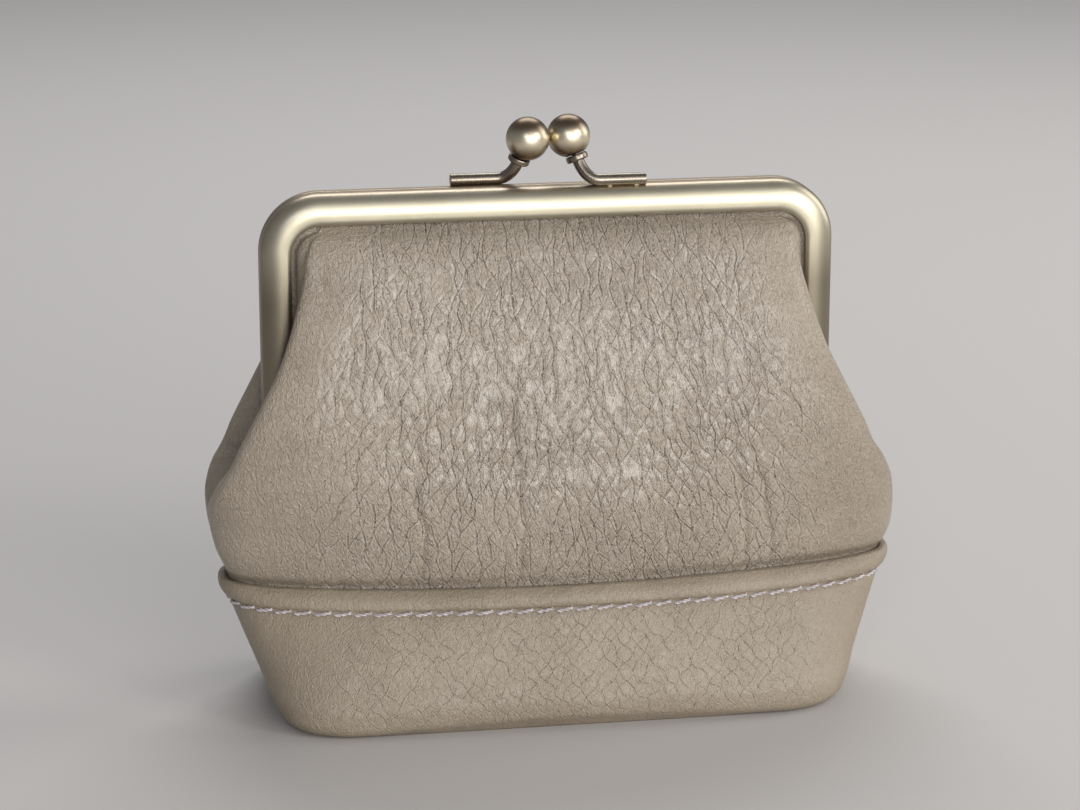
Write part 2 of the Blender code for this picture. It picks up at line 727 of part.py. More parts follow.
def build():
    """Builds every piece."""
    pouch, cutters = cleared_scene()
    leather = material("Panel leather", (0.36, 0.31, 0.235), 0.42, 0.0)
    base_leather = material("Base leather", (0.38, 0.33, 0.25), 0.45, 0.0)
    brass = material("Antique brass", (0.55, 0.49, 0.36), 0.38, 1.0)
    ball_brass = material("Ball brass", (0.6, 0.52, 0.36), 0.3, 1.0)
    rivet_brass = material("Rivet brass", (0.45, 0.4, 0.3), 0.4, 1.0)
    front = half_frame("front_frame", pouch, cutters)
    back = half_turned(half_frame("back_frame", pouch, cutters))
    front_ball = clasp_ball("front_ball", pouch)
    back_ball = half_turned(clasp_ball("back_ball", pouch))
    rivets = [hinge_rivet("left_hinge_rivet", -1, pouch), hinge_rivet("right_hinge_rivet", 1, pouch)]
    front_panel = panel("front_panel", 1, pouch)
    back_panel = panel("back_panel", -1, pouch)
    base = base_cup("base_cup", pouch)
    finishes = (
        (brass, (front, back)),
        (ball_brass, (front_ball, back_ball)),
        (rivet_brass, rivets),
        (leather, (front_panel, back_panel)),
        (base_leather, (base,)),
    )
    for finish, things in finishes:
        for thing in things:
            thing.data.materials.clear()
            thing.data.materials.append(finish)
            smooth(thing)
    centred([thing for _, things in finishes for thing in things])


build()
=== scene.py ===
"""Kiss-lock pouch with its leather grain, antique brass and stitching, in a plain pale studio."""

import itertools
import logging
import math
from dataclasses import dataclass, field
from enum import Enum

import bmesh
import bpy
import numpy as np
from mathutils import Matrix, Vector
from numpy.typing import NDArray


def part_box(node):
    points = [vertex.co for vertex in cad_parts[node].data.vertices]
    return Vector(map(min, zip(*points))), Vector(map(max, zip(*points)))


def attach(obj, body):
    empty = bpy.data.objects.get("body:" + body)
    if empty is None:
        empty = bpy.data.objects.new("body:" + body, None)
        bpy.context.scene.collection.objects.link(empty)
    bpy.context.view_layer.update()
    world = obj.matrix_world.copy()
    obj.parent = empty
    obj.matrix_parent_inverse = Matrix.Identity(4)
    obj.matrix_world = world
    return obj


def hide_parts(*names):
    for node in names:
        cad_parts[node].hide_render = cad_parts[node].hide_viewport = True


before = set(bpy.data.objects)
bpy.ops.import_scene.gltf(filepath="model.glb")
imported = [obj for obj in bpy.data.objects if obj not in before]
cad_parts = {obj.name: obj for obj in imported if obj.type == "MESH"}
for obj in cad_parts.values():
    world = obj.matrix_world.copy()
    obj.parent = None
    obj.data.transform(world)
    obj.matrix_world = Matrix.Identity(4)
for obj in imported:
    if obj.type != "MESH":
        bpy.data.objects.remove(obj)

Array = NDArray[np.float64]
Point = tuple[float, float, float]
Color = tuple[float, float, float]
Pair = tuple[float, float]
Object = bpy.types.Object
Mesh = bpy.types.Mesh
Material = bpy.types.Material
Tree = bpy.types.NodeTree
Node = bpy.types.Node
Socket = bpy.types.NodeSocket

MM = 0.001
WELD = 0.001 * MM

logging.basicConfig(level=logging.INFO, format="%(message)s")
log = logging.getLogger("pouch")


class Half(Enum):
    """The two halves of the pouch, by the way each faces along Y."""

    FRONT = 1
    BACK = -1


class Side(Enum):
    """The two ends of the hinge axis."""

    LEFT = -1
    RIGHT = 1


# Numbers that vary over a surface


def smoothstep(low: float, high: float, value: Array) -> Array:
    """A soft step.

    Args:
        low: Where the step starts.
        high: Where it ends.
        value: The values to step.

    Returns:
        0 before low, 1 after high, smooth in between.
    """
    share = np.clip((value - low) / (high - low), 0.0, 1.0)
    return share * share * (3 - 2 * share)


def hashed(a: Array, b: Array, seed: int) -> Array:
    """A fixed scatter of numbers.

    Args:
        a: First whole coordinate.
        b: Second whole coordinate.
        seed: Which scatter.

    Returns:
        Numbers from 0 to 1, the same each time.
    """
    mixed = np.sin(a * 127.1 + b * 311.7 + seed * 74.7) * 43758.5453
    return mixed - np.floor(mixed)


def noise(x: Array, y: Array, seed: int) -> Array:
    """Soft noise over a plane.

    Args:
        x: First coordinate, one cell per unit.
        y: Second coordinate.
        seed: Which noise.

    Returns:
        Numbers from 0 to 1.
    """
    x0, y0 = np.floor(x), np.floor(y)
    u, v = x - x0, y - y0
    u, v = u * u * (3 - 2 * u), v * v * (3 - 2 * v)
    low = hashed(x0, y0, seed) * (1 - u) + hashed(x0 + 1, y0, seed) * u
    high = hashed(x0, y0 + 1, seed) * (1 - u) + hashed(x0 + 1, y0 + 1, seed) * u
    return low * (1 - v) + high * v


def layered(x: Array, y: Array, seed: int, layers: int = 3) -> Array:
    """Noise with finer noise on it.

    Args:
        x: First coordinate.
        y: Second coordinate.
        seed: Which noise.
        layers: How many layers.

    Returns:
        Numbers around 0, from about -1 to 1.
    """
    total = np.zeros(np.broadcast(x, y).shape)
    share, scale = 1.0, 1.0
    for layer in range(layers):
        total += share * (2 * noise(x * scale, y * scale, seed + 17 * layer) - 1)
        share *= 0.5
        scale *= 2.03
    return total / 1.6


def pebbles(x: Array, y: Array, seed: int) -> Array:
    """The pebbles of grained leather, each with a tone of its own.

    Args:
        x: First coordinate, one pebble per unit.
        y: Second coordinate.
        seed: Which pattern.

    Returns:
        A number from 0 to 1 that is the same all over a pebble.
    """
    x0, y0 = np.floor(x), np.floor(y)
    nearest = np.full(x.shape, np.inf)
    tone = np.zeros(x.shape)
    for across, up in itertools.product((-1, 0, 1), repeat=2):
        cx, cy = x0 + across, y0 + up
        px = cx + 0.15 + 0.7 * hashed(cx, cy, seed)
        py = cy + 0.15 + 0.7 * hashed(cx, cy, seed + 5)
        gap = np.hypot(x - px, y - py)
        closer = gap < nearest
        tone = np.where(closer, hashed(cx, cy, seed + 9), tone)
        nearest = np.where(closer, gap, nearest)
    return tone


def eased(levels: Array, values: Array, wanted: Array) -> Array:
    """A smooth line through a table that never swings past its entries.

    Args:
        levels: Where the entries are, rising.
        values: The entries, one row for each level.
        wanted: Where values are wanted.

    Returns:
        One row for each wanted level.
    """
    flat = values.reshape(len(levels), -1)
    gaps = np.diff(levels)[:, None]
    rises = np.diff(flat, axis=0) / gaps
    slopes = np.zeros_like(flat)
    slopes[0], slopes[-1] = rises[0], rises[-1]
    before, after = rises[:-1], rises[1:]
    w1, w2 = 2 * gaps[1:] + gaps[:-1], gaps[1:] + 2 * gaps[:-1]
    same = before * after > 0
    safe_before = np.where(same, before, 1.0)
    safe_after = np.where(same, after, 1.0)
    slopes[1:-1] = np.where(same, (w1 + w2) / (w1 / safe_before + w2 / safe_after), 0.0)
    wanted = np.clip(wanted, levels[0], levels[-1])
    spot = np.clip(np.searchsorted(levels, wanted, side="right") - 1, 0, len(levels) - 2)
    width = gaps[spot]
    t = (wanted[:, None] - levels[spot][:, None]) / width
    result = (
        (2 * t**3 - 3 * t**2 + 1) * flat[spot]
        + (t**3 - 2 * t**2 + t) * width * slopes[spot]
        + (3 * t**2 - 2 * t**3) * flat[spot + 1]
        + (t**3 - t**2) * width * slopes[spot + 1]
    )
    return result.reshape((len(wanted),) + values.shape[1:])


# Lines


def along_evenly(line: Array, steps: int) -> Array:
    """The same line in equal steps.

    Args:
        line: Its points.
        steps: How many steps.

    Returns:
        One point more than the steps.
    """
    lengths = np.r_[0.0, np.cumsum(np.linalg.norm(np.diff(line, axis=0), axis=1))]
    wanted = np.linspace(0.0, lengths[-1], steps + 1)
    return np.stack([np.interp(wanted, lengths, line[:, k]) for k in range(line.shape[1])], axis=1)


def bulge_line(width: float, depth: float, side_depth: float, along: float, across: float) -> Array:
    """A quarter outline from the front's middle round to the side.

    Args:
        width: Half-width at the side.
        depth: Depth at the middle.
        side_depth: Depth at the side.
        along: Power of the width's curve.
        across: Power of the depth's curve.

    Returns:
        Fine points from (0, depth) to (width, side_depth).
    """
    angles = np.linspace(math.pi / 2, 0.0, 721)
    x = width * np.clip(np.cos(angles), 0.0, 1.0) ** (2 / along)
    y = side_depth + (depth - side_depth) * np.clip(np.sin(angles), 0.0, 1.0) ** (2 * across)
    return along_evenly(np.stack([x, y], axis=1), 900)


def moved_in(line: Array, distance: float) -> Array:
    """A line from the front's middle to the side, moved inwards.

    Args:
        line: Its points.
        distance: How far.

    Returns:
        The moved points.
    """
    ahead = np.gradient(line, axis=0)
    ahead[0] = (1.0, 0.0)
    ahead[-1] = (0.0, -1.0)
    ahead /= np.linalg.norm(ahead, axis=1)[:, None]
    return line + distance * np.column_stack([ahead[:, 1], -ahead[:, 0]])


def bezier(start: Array, start_pull: Array, end: Array, end_pull: Array, steps: int) -> Array:
    """Points of a cubic, leaving out its start.

    Args:
        start: First point.
        start_pull: Handle at the start.
        end: Last point.
        end_pull: Handle at the end.
        steps: How many steps.

    Returns:
        The points after the start.
    """
    share = np.linspace(0.0, 1.0, steps + 1)[1:, None]
    start, end = np.asarray(start, float), np.asarray(end, float)
    first, second = start + np.asarray(start_pull), end - np.asarray(end_pull)
    rest = 1 - share
    return rest**3 * start + 3 * rest**2 * share * first + 3 * rest * share**2 * second + share**3 * end


def arc(centre: Pair, radius: float, start: float, end: float, steps: int) -> list[Pair]:
    """Points of an arc.

    Args:
        centre: Its centre.
        radius: Its radius.
        start: First angle in degrees.
        end: Last angle in degrees.
        steps: How many steps.

    Returns:
        The points, both ends included.
    """
    angles = np.radians(np.linspace(start, end, steps + 1))
    return [(centre[0] + radius * math.cos(a), centre[1] + radius * math.sin(a)) for a in angles]


# Meshes


def placed(name: str, data: bpy.types.ID) -> Object:
    """A new object in the scene.

    Args:
        name: Its name.
        data: Its mesh, curve, light or camera.

    Returns:
        The object.
    """
    thing = bpy.data.objects.new(name, data)
    bpy.context.scene.collection.objects.link(thing)
    return thing


def settled(thing: Object) -> Object:
    """Turns a curve or an object with modifiers into a plain mesh.

    Args:
        thing: The object, used up.

    Returns:
        A new object of the same name.
    """
    graph = bpy.context.evaluated_depsgraph_get()
    mesh = bpy.data.meshes.new_from_object(thing.evaluated_get(graph))
    mesh.transform(thing.matrix_world)
    work = bmesh.new()
    work.from_mesh(mesh)
    bmesh.ops.remove_doubles(work, verts=work.verts, dist=WELD)
    bmesh.ops.dissolve_degenerate(work, edges=work.edges, dist=WELD)
    bmesh.ops.recalc_face_normals(work, faces=work.faces)
    work.to_mesh(mesh)
    work.free()
    name = thing.name
    bpy.data.objects.remove(thing, do_unlink=True)
    return placed(name, mesh)


def combined(body: Object, tools: list[Object], operation: str) -> Object:
    """Combines a body with other solids.

    Args:
        body: The body.
        tools: The other solids, used up.
        operation: UNION or DIFFERENCE.

    Returns:
        The new body.
    """
    for tool in tools:
        modifier = body.modifiers.new("Combine", "BOOLEAN")
        modifier.operation = operation
        modifier.solver = "EXACT"
        modifier.object = tool
        bpy.context.view_layer.update()
        body = settled(body)
        bpy.data.objects.remove(tool, do_unlink=True)
    return body


def solid_mesh(name: str, points: Array, faces: list[list[int]]) -> Mesh:
    """A closed mesh whose faces look outwards.

    Args:
        name: Its name.
        points: Its points, in millimetres.
        faces: The points of each face.

    Returns:
        The mesh, in metres.
    """
    mesh = bpy.data.meshes.new(name)
    mesh.from_pydata((np.asarray(points) * MM).tolist(), [], faces)
    work = bmesh.new()
    work.from_mesh(mesh)
    bmesh.ops.recalc_face_normals(work, faces=work.faces)
    work.to_mesh(mesh)
    work.free()
    return mesh


def quads(spots: Array) -> list[list[int]]:
    """The faces between the points of a grid.

    Args:
        spots: The points' numbers, in rows.

    Returns:
        The points of each face.
    """
    corners = (spots[:-1, :-1], spots[:-1, 1:], spots[1:, 1:], spots[1:, :-1])
    return np.stack(corners, axis=-1).reshape(-1, 4).tolist()


def box(name: str, low: Point, high: Point) -> Object:
    """A cutting block.

    Args:
        name: Its name.
        low: One corner, in millimetres.
        high: The opposite corner.

    Returns:
        The block.
    """
    corners = np.array(list(itertools.product(*zip(low, high))))
    faces = [[0, 1, 3, 2], [4, 6, 7, 5], [0, 4, 5, 1], [2, 3, 7, 6], [0, 2, 6, 4], [1, 5, 7, 3]]
    return placed(name, solid_mesh(name, corners, faces))


def disc_across(
    name: str, radius: float, start: float, end: float, height: float, steps: int = 56
) -> Object:
    """A round bar along X.

    Args:
        name: Its name.
        radius: Its radius, in millimetres.
        start: Where it starts along X.
        end: Where it ends.
        height: The height of its axis.
        steps: How many steps round.

    Returns:
        The bar.
    """
    mesh = bpy.data.meshes.new(name)
    work = bmesh.new()
    middle = Matrix.Translation(((start + end) / 2 * MM, 0.0, height * MM))
    bmesh.ops.create_cone(
        work,
        cap_ends=True,
        segments=steps,
        radius1=radius * MM,
        radius2=radius * MM,
        depth=abs(end - start) * MM,
        matrix=middle @ Matrix.Rotation(math.pi / 2, 4, "Y"),
    )
    work.to_mesh(mesh)
    work.free()
    return placed(name, mesh)


def turned(name: str, profile: list[Pair], place: Matrix, steps: int) -> Object:
    """A solid turned on a lathe.

    Args:
        name: Its name.
        profile: Points (radius, height), in millimetres.
        place: Where its foot and axis are, in metres.
        steps: How many steps round.

    Returns:
        The solid.
    """
    points = [(radius * MM, 0.0, height * MM) for radius, height in profile]
    mesh = bpy.data.meshes.new(name)
    mesh.from_pydata(points, [(i, i + 1) for i in range(len(points) - 1)], [])
    thing = placed(name, mesh)
    screw = thing.modifiers.new("Turn", "SCREW")
    screw.axis = "Z"
    screw.steps = steps
    screw.render_steps = steps
    screw.use_merge_vertices = True
    screw.merge_threshold = 5 * WELD
    screw.use_normal_calculate = True
    bpy.context.view_layer.update()
    thing = settled(thing)
    thing.data.transform(place)
    return thing


def shaded(thing: Object, angle: float = 32.0, weighted: bool = True) -> None:
    """Shades a finished mesh smooth and keeps its sharp edges.

    Args:
        thing: The object.
        angle: Edges sharper than this many degrees stay sharp.
        weighted: Whether large flat faces keep their own shading.
    """
    thing.data.polygons.foreach_set("use_smooth", [True] * len(thing.data.polygons))
    work = bmesh.new()
    work.from_mesh(thing.data)
    for edge in work.edges:
        edge.smooth = len(edge.link_faces) == 2 and edge.calc_face_angle(0.0) < math.radians(angle)
    work.to_mesh(thing.data)
    work.free()
    if weighted:
        modifier = thing.modifiers.new("Even shading", "WEIGHTED_NORMAL")
        modifier.keep_sharp = True
        modifier.weight = 80


def wall_mesh(name: str, outer: Array, inner: Array, rows: Array, columns: Array) -> Mesh:
    """A closed wall from a fine outer grid and a coarser inner one.

    Args:
        name: Its name.
        outer: The outer grid, rows by columns by 3, in millimetres.
        inner: The inner grid, of the rows and columns that it keeps.
        rows: Which outer rows the inner grid keeps, first and last among them.
        columns: Which outer columns it keeps.

    Returns:
        The mesh, in metres.
    """
    high, wide = outer.shape[:2]
    spots = np.arange(high * wide).reshape(high, wide)
    inside = high * wide + np.arange(len(rows) * len(columns)).reshape(len(rows), len(columns))
    faces = quads(spots) + quads(inside.T)
    for border, lining, kept in (
        (spots[0], inside[0], columns),
        (spots[-1], inside[-1], columns),
        (spots[:, 0], inside[:, 0], rows),
        (spots[:, -1], inside[:, -1], rows),
    ):
        for step in range(len(kept) - 1):
            stretch = border[kept[step] : kept[step + 1] + 1].tolist()
            faces.append([int(lining[step]), *stretch, int(lining[step + 1])])
    return solid_mesh(name, np.vstack([outer.reshape(-1, 3), inner.reshape(-1, 3)]), faces)


def marked(mesh: Mesh, name: str, values: Array) -> None:
    """Keeps a number or a vector for each of the first points of a mesh, 0 for the rest.

    Args:
        mesh: The mesh.
        name: The attribute's name.
        values: The numbers, in a grid, or the vectors, in a grid with one more axis.
    """
    parts = values.shape[2] if values.ndim == 3 else 1
    flat = values.reshape(-1, parts)
    whole = np.zeros((len(mesh.vertices), parts), np.float32)
    whole[: len(flat)] = flat
    kind, socket = ("FLOAT", "value") if parts == 1 else ("FLOAT_VECTOR", "vector")
    mesh.attributes.new(name, kind, "POINT").data.foreach_set(socket, whole.ravel())


def facing(grid: Array) -> Array:
    """The outward directions of a grid.

    Args:
        grid: Its points. Its columns run across and its rows run up.

    Returns:
        One direction of length 1 for each point.
    """
    across = np.gradient(grid, axis=1)
    up = np.gradient(grid, axis=0)
    normal = np.cross(up, across)
    return normal / np.maximum(np.linalg.norm(normal, axis=2, keepdims=True), 1e-9)


# Sizes that several pieces share


@dataclass(frozen=True)
class FrameSizes:
    """The metal frame's sizes, in millimetres."""

    width: float = 120.0
    top: float = 109.1
    corner: float = 12.5
    height: float = 54.5
    face_width: float = 6.2
    half_depth: float = 4.85
    sheet: float = 0.8
    half_gap: float = 0.05
    wall: float = 0.15
    face_round: float = 4.3
    crown_depth: float = 3.3
    mating_round: float = 0.45
    lip_turn: float = 0.4
    lip_height: float = 0.8
    ear_radius: float = 3.0
    gap: float = 0.3

    @property
    def leg_end(self) -> float:
        """The height of the legs' ends."""
        return self.top - self.height

    @property
    def hinge(self) -> float:
        """The height of the hinge axis."""
        return self.leg_end + self.ear_radius

    @property
    def lip(self) -> float:
        """The height of the crown's lower lip."""
        return self.top - self.face_width

    @property
    def face(self) -> float:
        """The depth of the frame's front face."""
        return self.wall + self.half_depth

    @property
    def corner_x(self) -> float:
        """The corner's centre along X."""
        return self.width / 2 - self.corner

    @property
    def corner_z(self) -> float:
        """The corner's centre along Z."""
        return self.top - self.corner

    def reach(self, inset: float, height: float) -> float:
        """How far out the frame's line lies.

        Args:
            inset: How far the line is moved in.
            height: At this height.

        Returns:
            The distance from the middle.
        """
        over = max(height - self.corner_z, 0.0)
        return self.corner_x + math.sqrt(max((self.corner - inset) ** 2 - over**2, 0.0))


@dataclass(frozen=True)
class BodySizes:
    """The soft body's sizes, in millimetres, and the shape of its base."""

    panel_thick: float = 1.2
    base_thick: float = 1.5
    side_reach: float = 72.3
    front_reach: float = 20.0
    belt_top: float = 28.6
    belt_half_width: float = 72.0
    base_half_depth: float = 28.8
    roll_height: float = 4.2
    roll_bulge: float = 0.55
    sway: float = 2.0
    sway_at_foot: float = 0.3
    sway_clear: float = 0.6
    arch_rise: float = 1.3
    arch_half_length: float = 46.0
    rings: tuple[tuple[float, ...], ...] = (
        (0.000, 0.775, 0.900, 8.0, 0.20, 0.0),
        (0.028, 0.808, 0.962, 8.0, 0.20, 1.0),
        (0.095, 0.833, 0.993, 8.0, 0.20, 0.8),
        (0.205, 0.853, 1.000, 7.0, 0.21, 0.3),
        (0.410, 0.883, 0.960, 5.0, 0.25, 0.0),
        (0.655, 0.921, 0.890, 3.6, 0.29, 0.0),
        (0.900, 0.958, 0.808, 2.3, 0.33, 0.0),
        (1.000, 0.973, 0.770, 1.9, 0.345, 0.0),
    )
    roll_top: tuple[float, ...] = (1.0, 0.720, 1.5, 0.365)

    @property
    def foot(self) -> float:
        """The height of the roll's foot."""
        return self.belt_top - self.roll_height

    def lean(self, height: Array, leg_end: float) -> Array:
        """How far the soft body stands off to the right.

        Args:
            height: At these heights.
            leg_end: The height where it meets the legs.

        Returns:
            The distances.
        """
        low = self.sway_at_foot + (1 - self.sway_at_foot) * np.minimum(height, self.belt_top) / self.belt_top
        return self.sway * low * (1 - smoothstep(self.belt_top, leg_end - self.sway_clear, height))

    def section(self, heights: Array) -> Array:
        """The base's outside at some heights.

        Args:
            heights: The heights.

        Returns:
            Half-width, half-depth, the two powers and the arch's share, one row for each height.
        """
        wide, deep = self.belt_half_width, self.base_half_depth
        rows = [
            (share * self.foot, width * wide, depth * deep, along, across, arch)
            for share, width, depth, along, across, arch in self.rings
        ]
        width, depth, along, across = self.roll_top
        rows.append((self.belt_top, width * wide, depth * deep, along, across, 0.0))
        table = np.array(rows)
        return eased(table[:, 0], table[:, 1:], np.atleast_1d(heights))

    def quarter(self, height: float, inset: float) -> Array:
        """A quarter of the base's outline, front's middle to side, moved in by the inset."""
        width, depth, along, across, _ = self.section(np.array([height]))[0]
        return moved_in(bulge_line(width, depth, 0.0, along, across), inset)


FRAME = FrameSizes()
BODY = BodySizes()


# Leather relief


@dataclass(frozen=True)
class Lines:
    """A family of creases on a surface: a count that is whole on each crease, and how strong each is."""

    number: Array
    strength: Array
    spacing: float
    width: float

    @property
    def off(self) -> Array:
        """How far each point is from the nearest crease, in millimetres."""
        return np.abs(self.number - np.round(self.number)) * self.spacing

    @property
    def dips(self) -> Array:
        """The soft dips along the creases, from 0 to 1."""
        return self.strength * np.exp(-((self.off / self.width) ** 2))

    @property
    def lips(self) -> Array:
        """The raised lips beside them, from 0 to 1."""
        return self.strength * np.exp(-(((self.off - 1.9 * self.width) / (0.8 * self.width)) ** 2))

    def kept(self, share: Array | float = 1.0) -> Array:
        """The count, this share of the strength and the spacing, as the leather's shader reads them."""
        spacing = np.full(self.number.shape, self.spacing)
        return np.stack([self.number, self.strength * share, spacing], axis=-1)


@dataclass(frozen=True)
class Creases:
    """Creases side by side that wander, near each other and part, in millimetres and degrees from upright."""

    spacing: float
    lens: float
    lean: float
    drift: float
    faint: float
    tilt: float
    seed: int
    width: float

    def lines(self, across: Array, height: Array, share: Array) -> Lines:
        """The creases on a surface.

        Args:
            across: The place across it.
            height: The height on it.
            share: How strong they are there.

        Returns:
            The creases.
        """
        cosine, sine = math.cos(math.radians(self.tilt)), math.sin(math.radians(self.tilt))
        over = (across * cosine + height * sine) / self.spacing
        along = height * cosine - across * sine
        turn = 2 * math.pi * along / self.lens + 5 * noise(over / 3.5, along / (2.2 * self.lens), self.seed)
        sway = self.lean * (0.35 + 0.65 * noise(over / 2.5, along / self.lens, self.seed + 1))
        number = over + sway * np.sin(turn) * np.cos(math.pi * over)
        number = number + self.drift * layered(over / 2.2, along / (2.4 * self.spacing), self.seed + 2)
        strand = np.round(number)
        strength = smoothstep(0.28, 0.62, noise(strand * 3.7, along / 6.5, self.seed + 5))
        return Lines(number, (self.faint + (1 - self.faint) * strength) * share, self.spacing, self.width)


def ridged(x: Array, y: Array, seed: int) -> Array:
    """Fine sharp wrinkles, from 0 between them to 1 on them."""
    return (1 - np.abs(2 * noise(x, y, seed) - 1)) ** 2


@dataclass(frozen=True)
class Relief:
    """The worked-out relief of a skin: its height in millimetres, two marks from 0 to 1 (painted crease
    shade, and gloss that also places painted sheen) and its creases.
    """

    height: Array
    crease: Array
    shine: Array
    families: dict[str, Lines]


@dataclass(frozen=True)
class DeepCrease:
    """A long deep crease up a panel, in millimetres."""

    across: float
    bottom: float
    top: float
    depth: float
    wander: float = 1.0
    wander_length: float = 6.0
    fade_in: Pair = (-4.0, 3.0)
    fade_out: Pair = (-8.0, 3.0)
    half_width: float = 0.60
    shade_line_half_width: float = 0.42
    lip_off: float = 1.5
    lip_half_width: float = 0.8
    lip_share: float = 0.40

    def marks(self, across: Array, height: Array) -> tuple[Array, Array]:
        """The crease on a panel.

        Args:
            across: The place across the panel.
            height: The height on it.

        Returns:
            How deep it is, and the dark line at its bottom, from 0 to 1.
        """
        seed = int(abs(self.across) * 10)
        line = self.across + self.wander * (2 * noise(height / self.wander_length, height * 0, seed) - 1)
        reach = smoothstep(*(self.bottom + end for end in self.fade_in), height)
        reach = reach * (1 - smoothstep(*(self.top + end for end in self.fade_out), height))
        off = np.abs(across - line)
        dip = np.exp(-((off / self.half_width) ** 2))
        lip = np.exp(-(((off - self.lip_off) / self.lip_half_width) ** 2))
        # A painted shade line at the crease's bottom.
        dark = np.exp(-((off / self.shade_line_half_width) ** 2))
        return self.depth * reach * (dip - self.lip_share * lip), reach * dark


@dataclass(frozen=True)
class PanelGrain:
    """The relief of an upper panel: a net of upright and slanting creases with wrinkled pebbles between.

    Depths and heights are in millimetres. A place across is a share of the way from the middle to the side.
    """

    seed: int
    upright: Creases
    slanting: Creases
    counter: Creases
    fine: Creases
    deep: tuple[DeepCrease, ...]
    upright_depth: float = 0.21
    slanting_depth: float = 0.18
    counter_depth: float = 0.17
    lip_rise: float = 0.06
    wrinkle: float = 0.07
    swell: float = 0.12
    lower_part: Pair = (48.0, 80.0)
    right_part: Pair = (-0.45, 0.30)
    smooth_sides: Pair = (0.70, 0.97)
    smooth_low_sides: Pair = (0.50, 0.82)
    low_side_share: float = 0.75
    smooth_left: Pair = (-0.74, -0.92)
    smooth_left_heights: Pair = (46.0, 64.0)
    smooth_right: Pair = (0.84, 0.95)
    smooth_right_heights: Pair = (60.0, 78.0)
    relief_ends: Pair = (0.98, 1.25)

    def smoothness(self, height: Array, share: Array, low: Array) -> Array:
        """Where the leather is drawn smooth: beside the frame's legs and towards the sides.

        Args:
            height: The height on the panel.
            share: How far from the middle to the side, 1 at the side.
            low: The panel's lower part, from 0 to 1.

        Returns:
            From 0, grained, to 1, smooth.
        """
        outer = np.abs(share)
        left = smoothstep(*self.smooth_left, share) * smoothstep(*self.smooth_left_heights, height)
        right = smoothstep(*self.smooth_right, share) * smoothstep(*self.smooth_right_heights, height)
        low_sides = self.low_side_share * low * smoothstep(*self.smooth_low_sides, outer)
        return np.maximum.reduce([left, right, low_sides, smoothstep(*self.smooth_sides, outer)])

    def work(self, across: Array, height: Array, share: Array) -> Relief:
        """Works out the relief.

        Args:
            across: The place across the panel, narrowed to its upper width.
            height: The height on the panel.
            share: How far from the middle to the side, 1 at the side.

        Returns:
            The relief.
        """
        low = 1 - smoothstep(*self.lower_part, height)
        right = smoothstep(*self.right_part, share)
        rough = 1 - self.smoothness(height, share, low)
        warp = 0.45 * layered(across / 4.0, height / 6.0, self.seed + 40)
        families = {
            "upright": self.upright.lines(across + warp, height, rough),
            "slanting": self.slanting.lines(across - warp, height, rough * (0.70 + 0.30 * right)),
            "counter": self.counter.lines(across + 0.6 * warp, height, rough * (0.75 + 0.25 * low)),
            "fine": self.fine.lines(across - 0.6 * warp, height, 0.75 * rough),
        }
        upright, slanting, counter = families["upright"], families["slanting"], families["counter"]
        dips = np.maximum(self.upright_depth * upright.dips, self.slanting_depth * slanting.dips)
        dips = np.maximum(dips, self.counter_depth * counter.dips)
        lips = np.maximum(upright.lips, 0.9 * np.maximum(slanting.lips, counter.lips))
        pillow = 1 - np.maximum(upright.dips, np.maximum(slanting.dips, counter.dips))
        tone = pebbles((across + 1.6 * warp) / 2.4, height / 3.4, self.seed + 50)
        upright_wrinkles = ridged(across / 1.3 + warp, height / 1.9, self.seed + 60)
        slanting_wrinkles = ridged((across + height) / 1.7, (height - across) / 1.3, self.seed + 61)
        wrinkles = upright_wrinkles + 0.6 * slanting_wrinkles - 0.5
        relief = self.lip_rise * lips * pillow - dips
        relief += self.wrinkle * wrinkles * (0.10 + 0.90 * rough)
        relief += self.swell * rough * layered(across / 5.0, height / 15.0, self.seed + 62, 2)
        # The deep creases' painted shade lines.
        lines = np.zeros(across.shape)
        for crease in self.deep:
            depth, line = crease.marks(across, height)
            relief -= depth
            lines = np.maximum(lines, line)
        # Gloss on the pebbles; the material also paints sheen where this is high.
        shine = (0.15 + 0.85 * tone) * (0.35 + 0.65 * pillow) * rough
        relief *= 1 - smoothstep(*self.relief_ends, np.abs(share))
        return Relief(relief, np.clip(lines, 0, 1), np.clip(shine, 0, 1), families)


@dataclass(frozen=True)
class BaseGrain:
    """The relief of the base: a net of slanting creases with pebbles between.

    Depths and heights are in millimetres. A place across is a share of the way from the middle to the side.
    """

    seed: int
    slanting: Creases
    counter: Creases
    depth: float = 0.13
    counter_depth: float = 0.11
    wrinkle: float = 0.02
    net_ends: Pair = (0.50, 0.84)
    wrinkles_end: Pair = (0.85, 1.0)
    above_foot: Pair = (0.3, 3.0)

    def work(self, across: Array, height: Array, share: Array) -> Relief:
        """Works out the relief below the roll.

        Args:
            across: The place along the wall from the middle.
            height: The height.
            share: How far from the middle to the side, 1 at the side.

        Returns:
            The relief.
        """
        outer = np.abs(share)
        middle = 1 - smoothstep(*self.net_ends, outer)
        soft = 1 - smoothstep(*self.wrinkles_end, outer)
        above = smoothstep(*self.above_foot, height)
        warp = 0.5 * layered(across / 4.0, height / 4.0, self.seed)
        slanting = self.slanting.lines(across + warp, height, middle * above)
        counter = self.counter.lines(across - warp, height, 0.8 * middle * above)
        dips = np.maximum(self.depth * slanting.dips, self.counter_depth * counter.dips)
        pillow = 1 - np.maximum(slanting.dips, counter.dips)
        tone = pebbles((across + 1.5 * warp) / 2.4, (height - warp) / 2.4, self.seed + 3)
        wrinkles = ridged(across / 1.5 + warp, height / 1.5, self.seed + 6) - 0.3
        relief = (self.wrinkle * wrinkles * soft - dips) * above
        # Gloss on the pebbles; the material also paints sheen where this is high.
        shine = np.clip((0.15 + 0.85 * tone) * pillow * middle, 0, 1)
        return Relief(relief, np.zeros(across.shape), shine, {"slanting": slanting, "counter": counter})


# Shader nodes


